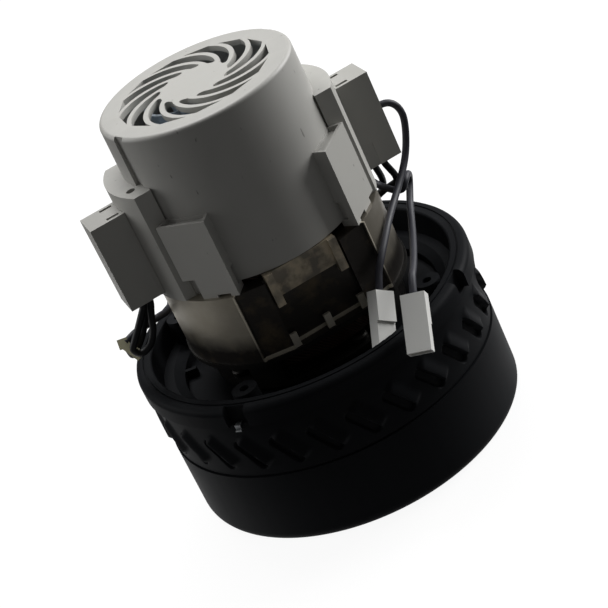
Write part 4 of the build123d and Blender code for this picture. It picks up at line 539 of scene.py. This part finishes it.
# Leads and jumper wires: the route's points in millimetres, as the CAD tubes follow them
wires = {
    "leadOne": {
        "node": "lead_one", "diameter": 3.0, "finish": "greyVinyl", "slot": "grey_insulation",
        "farEnd": "connector", "length": 109.3,
        "carries": ["terminal_housing_one", "terminal_receptacle_one"],
        "route": [
            (63.8, 1.3, 126.2), (67.6, 1.3, 126.2), (71.4, 1.2, 123.4), (72.9, 1.0, 118.4), (71.9, 0.9, 113.0),
            (69.3, 0.3, 106.6), (65.7, -1.6, 101.4), (60.3, -5.9, 97.6), (54.2, -11.5, 95.0), (48.0, -18.7, 93.6),
            (41.7, -27.8, 93.4), (35.7, -35.8, 91.8), (29.0, -43.0, 88.6), (23.94, -45.94, 83.67),
            (18.66, -52.26, 74.93),
        ],
    },
    "leadTwo": {
        "node": "lead_two", "diameter": 3.0, "finish": "greyVinyl", "slot": "grey_insulation",
        "farEnd": "connector", "length": 152.4,
        "carries": ["terminal_housing_two", "terminal_receptacle_two"],
        "route": [
            (37.25, 21.85, 107.8), (41.95, 26.05, 107.8), (45.6, 22.4, 106.0), (48.9, 16.0, 100.2),
            (52.0, 9.0, 93.7), (52.6, 3.5, 93.5), (54.0, -0.5, 92.6), (55.9, -4.0, 91.7), (58.1, -6.8, 91.8),
            (60.5, -6.4, 94.7), (63.3, -2.6, 95.0), (65.5, 2.2, 92.5), (64.8, 3.6, 88.6), (62.2, 0.5, 85.7),
            (58.3, -5.5, 83.0), (53.4, -16.0, 81.6), (47.4, -30.0, 81.8), (41.3, -44.0, 82.9),
            (36.2, -55.2, 84.0), (31.61, -63.42, 84.46), (26.39, -70.78, 76.54),
        ],
    },
    "loopWireRight": {
        "node": "loop_wire_right", "diameter": 2.9, "finish": "darkVinyl", "slot": "dark_insulation",
        "farEnd": "object", "length": 69.5, "carries": [],
        "route": [
            (57.0, 0.0, 106.5), (57.0, 0.0, 103.5), (58.3, 0.5, 99.7), (59.8, 1.5, 95.3), (60.1, 4.0, 91.3),
            (57.7, 6.0, 90.1), (53.8, 8.0, 88.7), (50.7, 10.0, 86.6), (49.8, 14.0, 84.3), (52.0, 18.5, 82.4),
            (55.6, 18.5, 83.6), (56.7, 14.0, 88.0), (55.9, 8.0, 94.5), (53.6, 3.5, 103.5), (53.6, 3.5, 106.5),
        ],
    },
    "loopWireLeft": {
        "node": "loop_wire_left", "diameter": 2.9, "finish": "darkVinyl", "slot": "dark_insulation",
        "farEnd": "object", "length": 52.0, "carries": [],
        "route": [
            (-57.9, -2.8, 106.5), (-57.9, -2.8, 103.5), (-60.6, -3.3, 100.6), (-64.4, -3.9, 96.4),
            (-68.0, -4.4, 92.6), (-70.6, -4.4, 89.6), (-68.4, -4.4, 85.9), (-64.0, -4.4, 86.8),
            (-61.0, -4.0, 89.5), (-58.4, -3.5, 94.1), (-56.9, -3.0, 99.0), (-54.6, -2.6, 103.5),
            (-54.6, -2.6, 106.5),
        ],
    },
    "dropWireLeft": {
        "node": "drop_wire_left", "diameter": 2.9, "finish": "darkVinyl", "slot": "dark_insulation",
        "farEnd": "connector", "length": 46.3, "carries": ["wire_connector"],
        "route": [
            (-55.6, 1.6, 106.5), (-55.6, 1.6, 103.5), (-58.0, 1.3, 98.8), (-60.4, 1.3, 94.8), (-63.1, 1.7, 90.7),
            (-66.4, 3.4, 86.4), (-68.9, 6.2, 83.1), (-70.4, 8.7, 80.7), (-70.3, 12.4, 82.9), (-71.4, 10.2, 87.0),
            (-71.9, 4.4, 89.8),
        ],
    },
    "fieldWireLeft": {
        "node": "field_wire_left", "diameter": 3.0, "finish": "greyVinyl", "slot": "grey_insulation",
        "farEnd": "connector", "length": 69.3, "carries": ["wire_connector"],
        "route": [
            (-37.25, 21.85, 107.8), (-41.95, 26.05, 107.8), (-42.2, 30.2, 103.6), (-41.0, 30.9, 95.2),
            (-42.3, 28.6, 87.4), (-45.4, 23.4, 84.4), (-48.6, 17.4, 86.2), (-53.3, 13.5, 88.0),
            (-58.1, 11.0, 88.7), (-62.2, 8.0, 90.0), (-65.4, 4.8, 91.3), (-67.8, 2.6, 91.7), (-70.8, 2.1, 90.9),
        ],
    },
}


def makeWire(name, wire):
    curve = bpy.data.curves.new(name, "CURVE")
    curve.dimensions = "3D"
    curve.bevel_depth = wire["diameter"] / 2 * mm
    curve.bevel_resolution = 6
    curve.resolution_u = 12
    curve.use_fill_caps = True
    spline = curve.splines.new("NURBS")
    spline.points.add(len(wire["route"]) - 1)
    for point, place in zip(spline.points, wire["route"]):
        point.co = (*(c * mm for c in place), 1)
    spline.order_u = 3
    spline.use_endpoint_u = True
    curve.materials.append(finishes[wire["finish"]])
    piece = bpy.data.objects.new(name, curve)
    bpy.context.scene.collection.objects.link(piece)
    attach(piece, "housing")
    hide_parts(wire["node"])


for name, wire in wires.items():
    makeWire(name, wire)
print("wires made")

bpy.context.scene.view_settings.view_transform = "Standard"
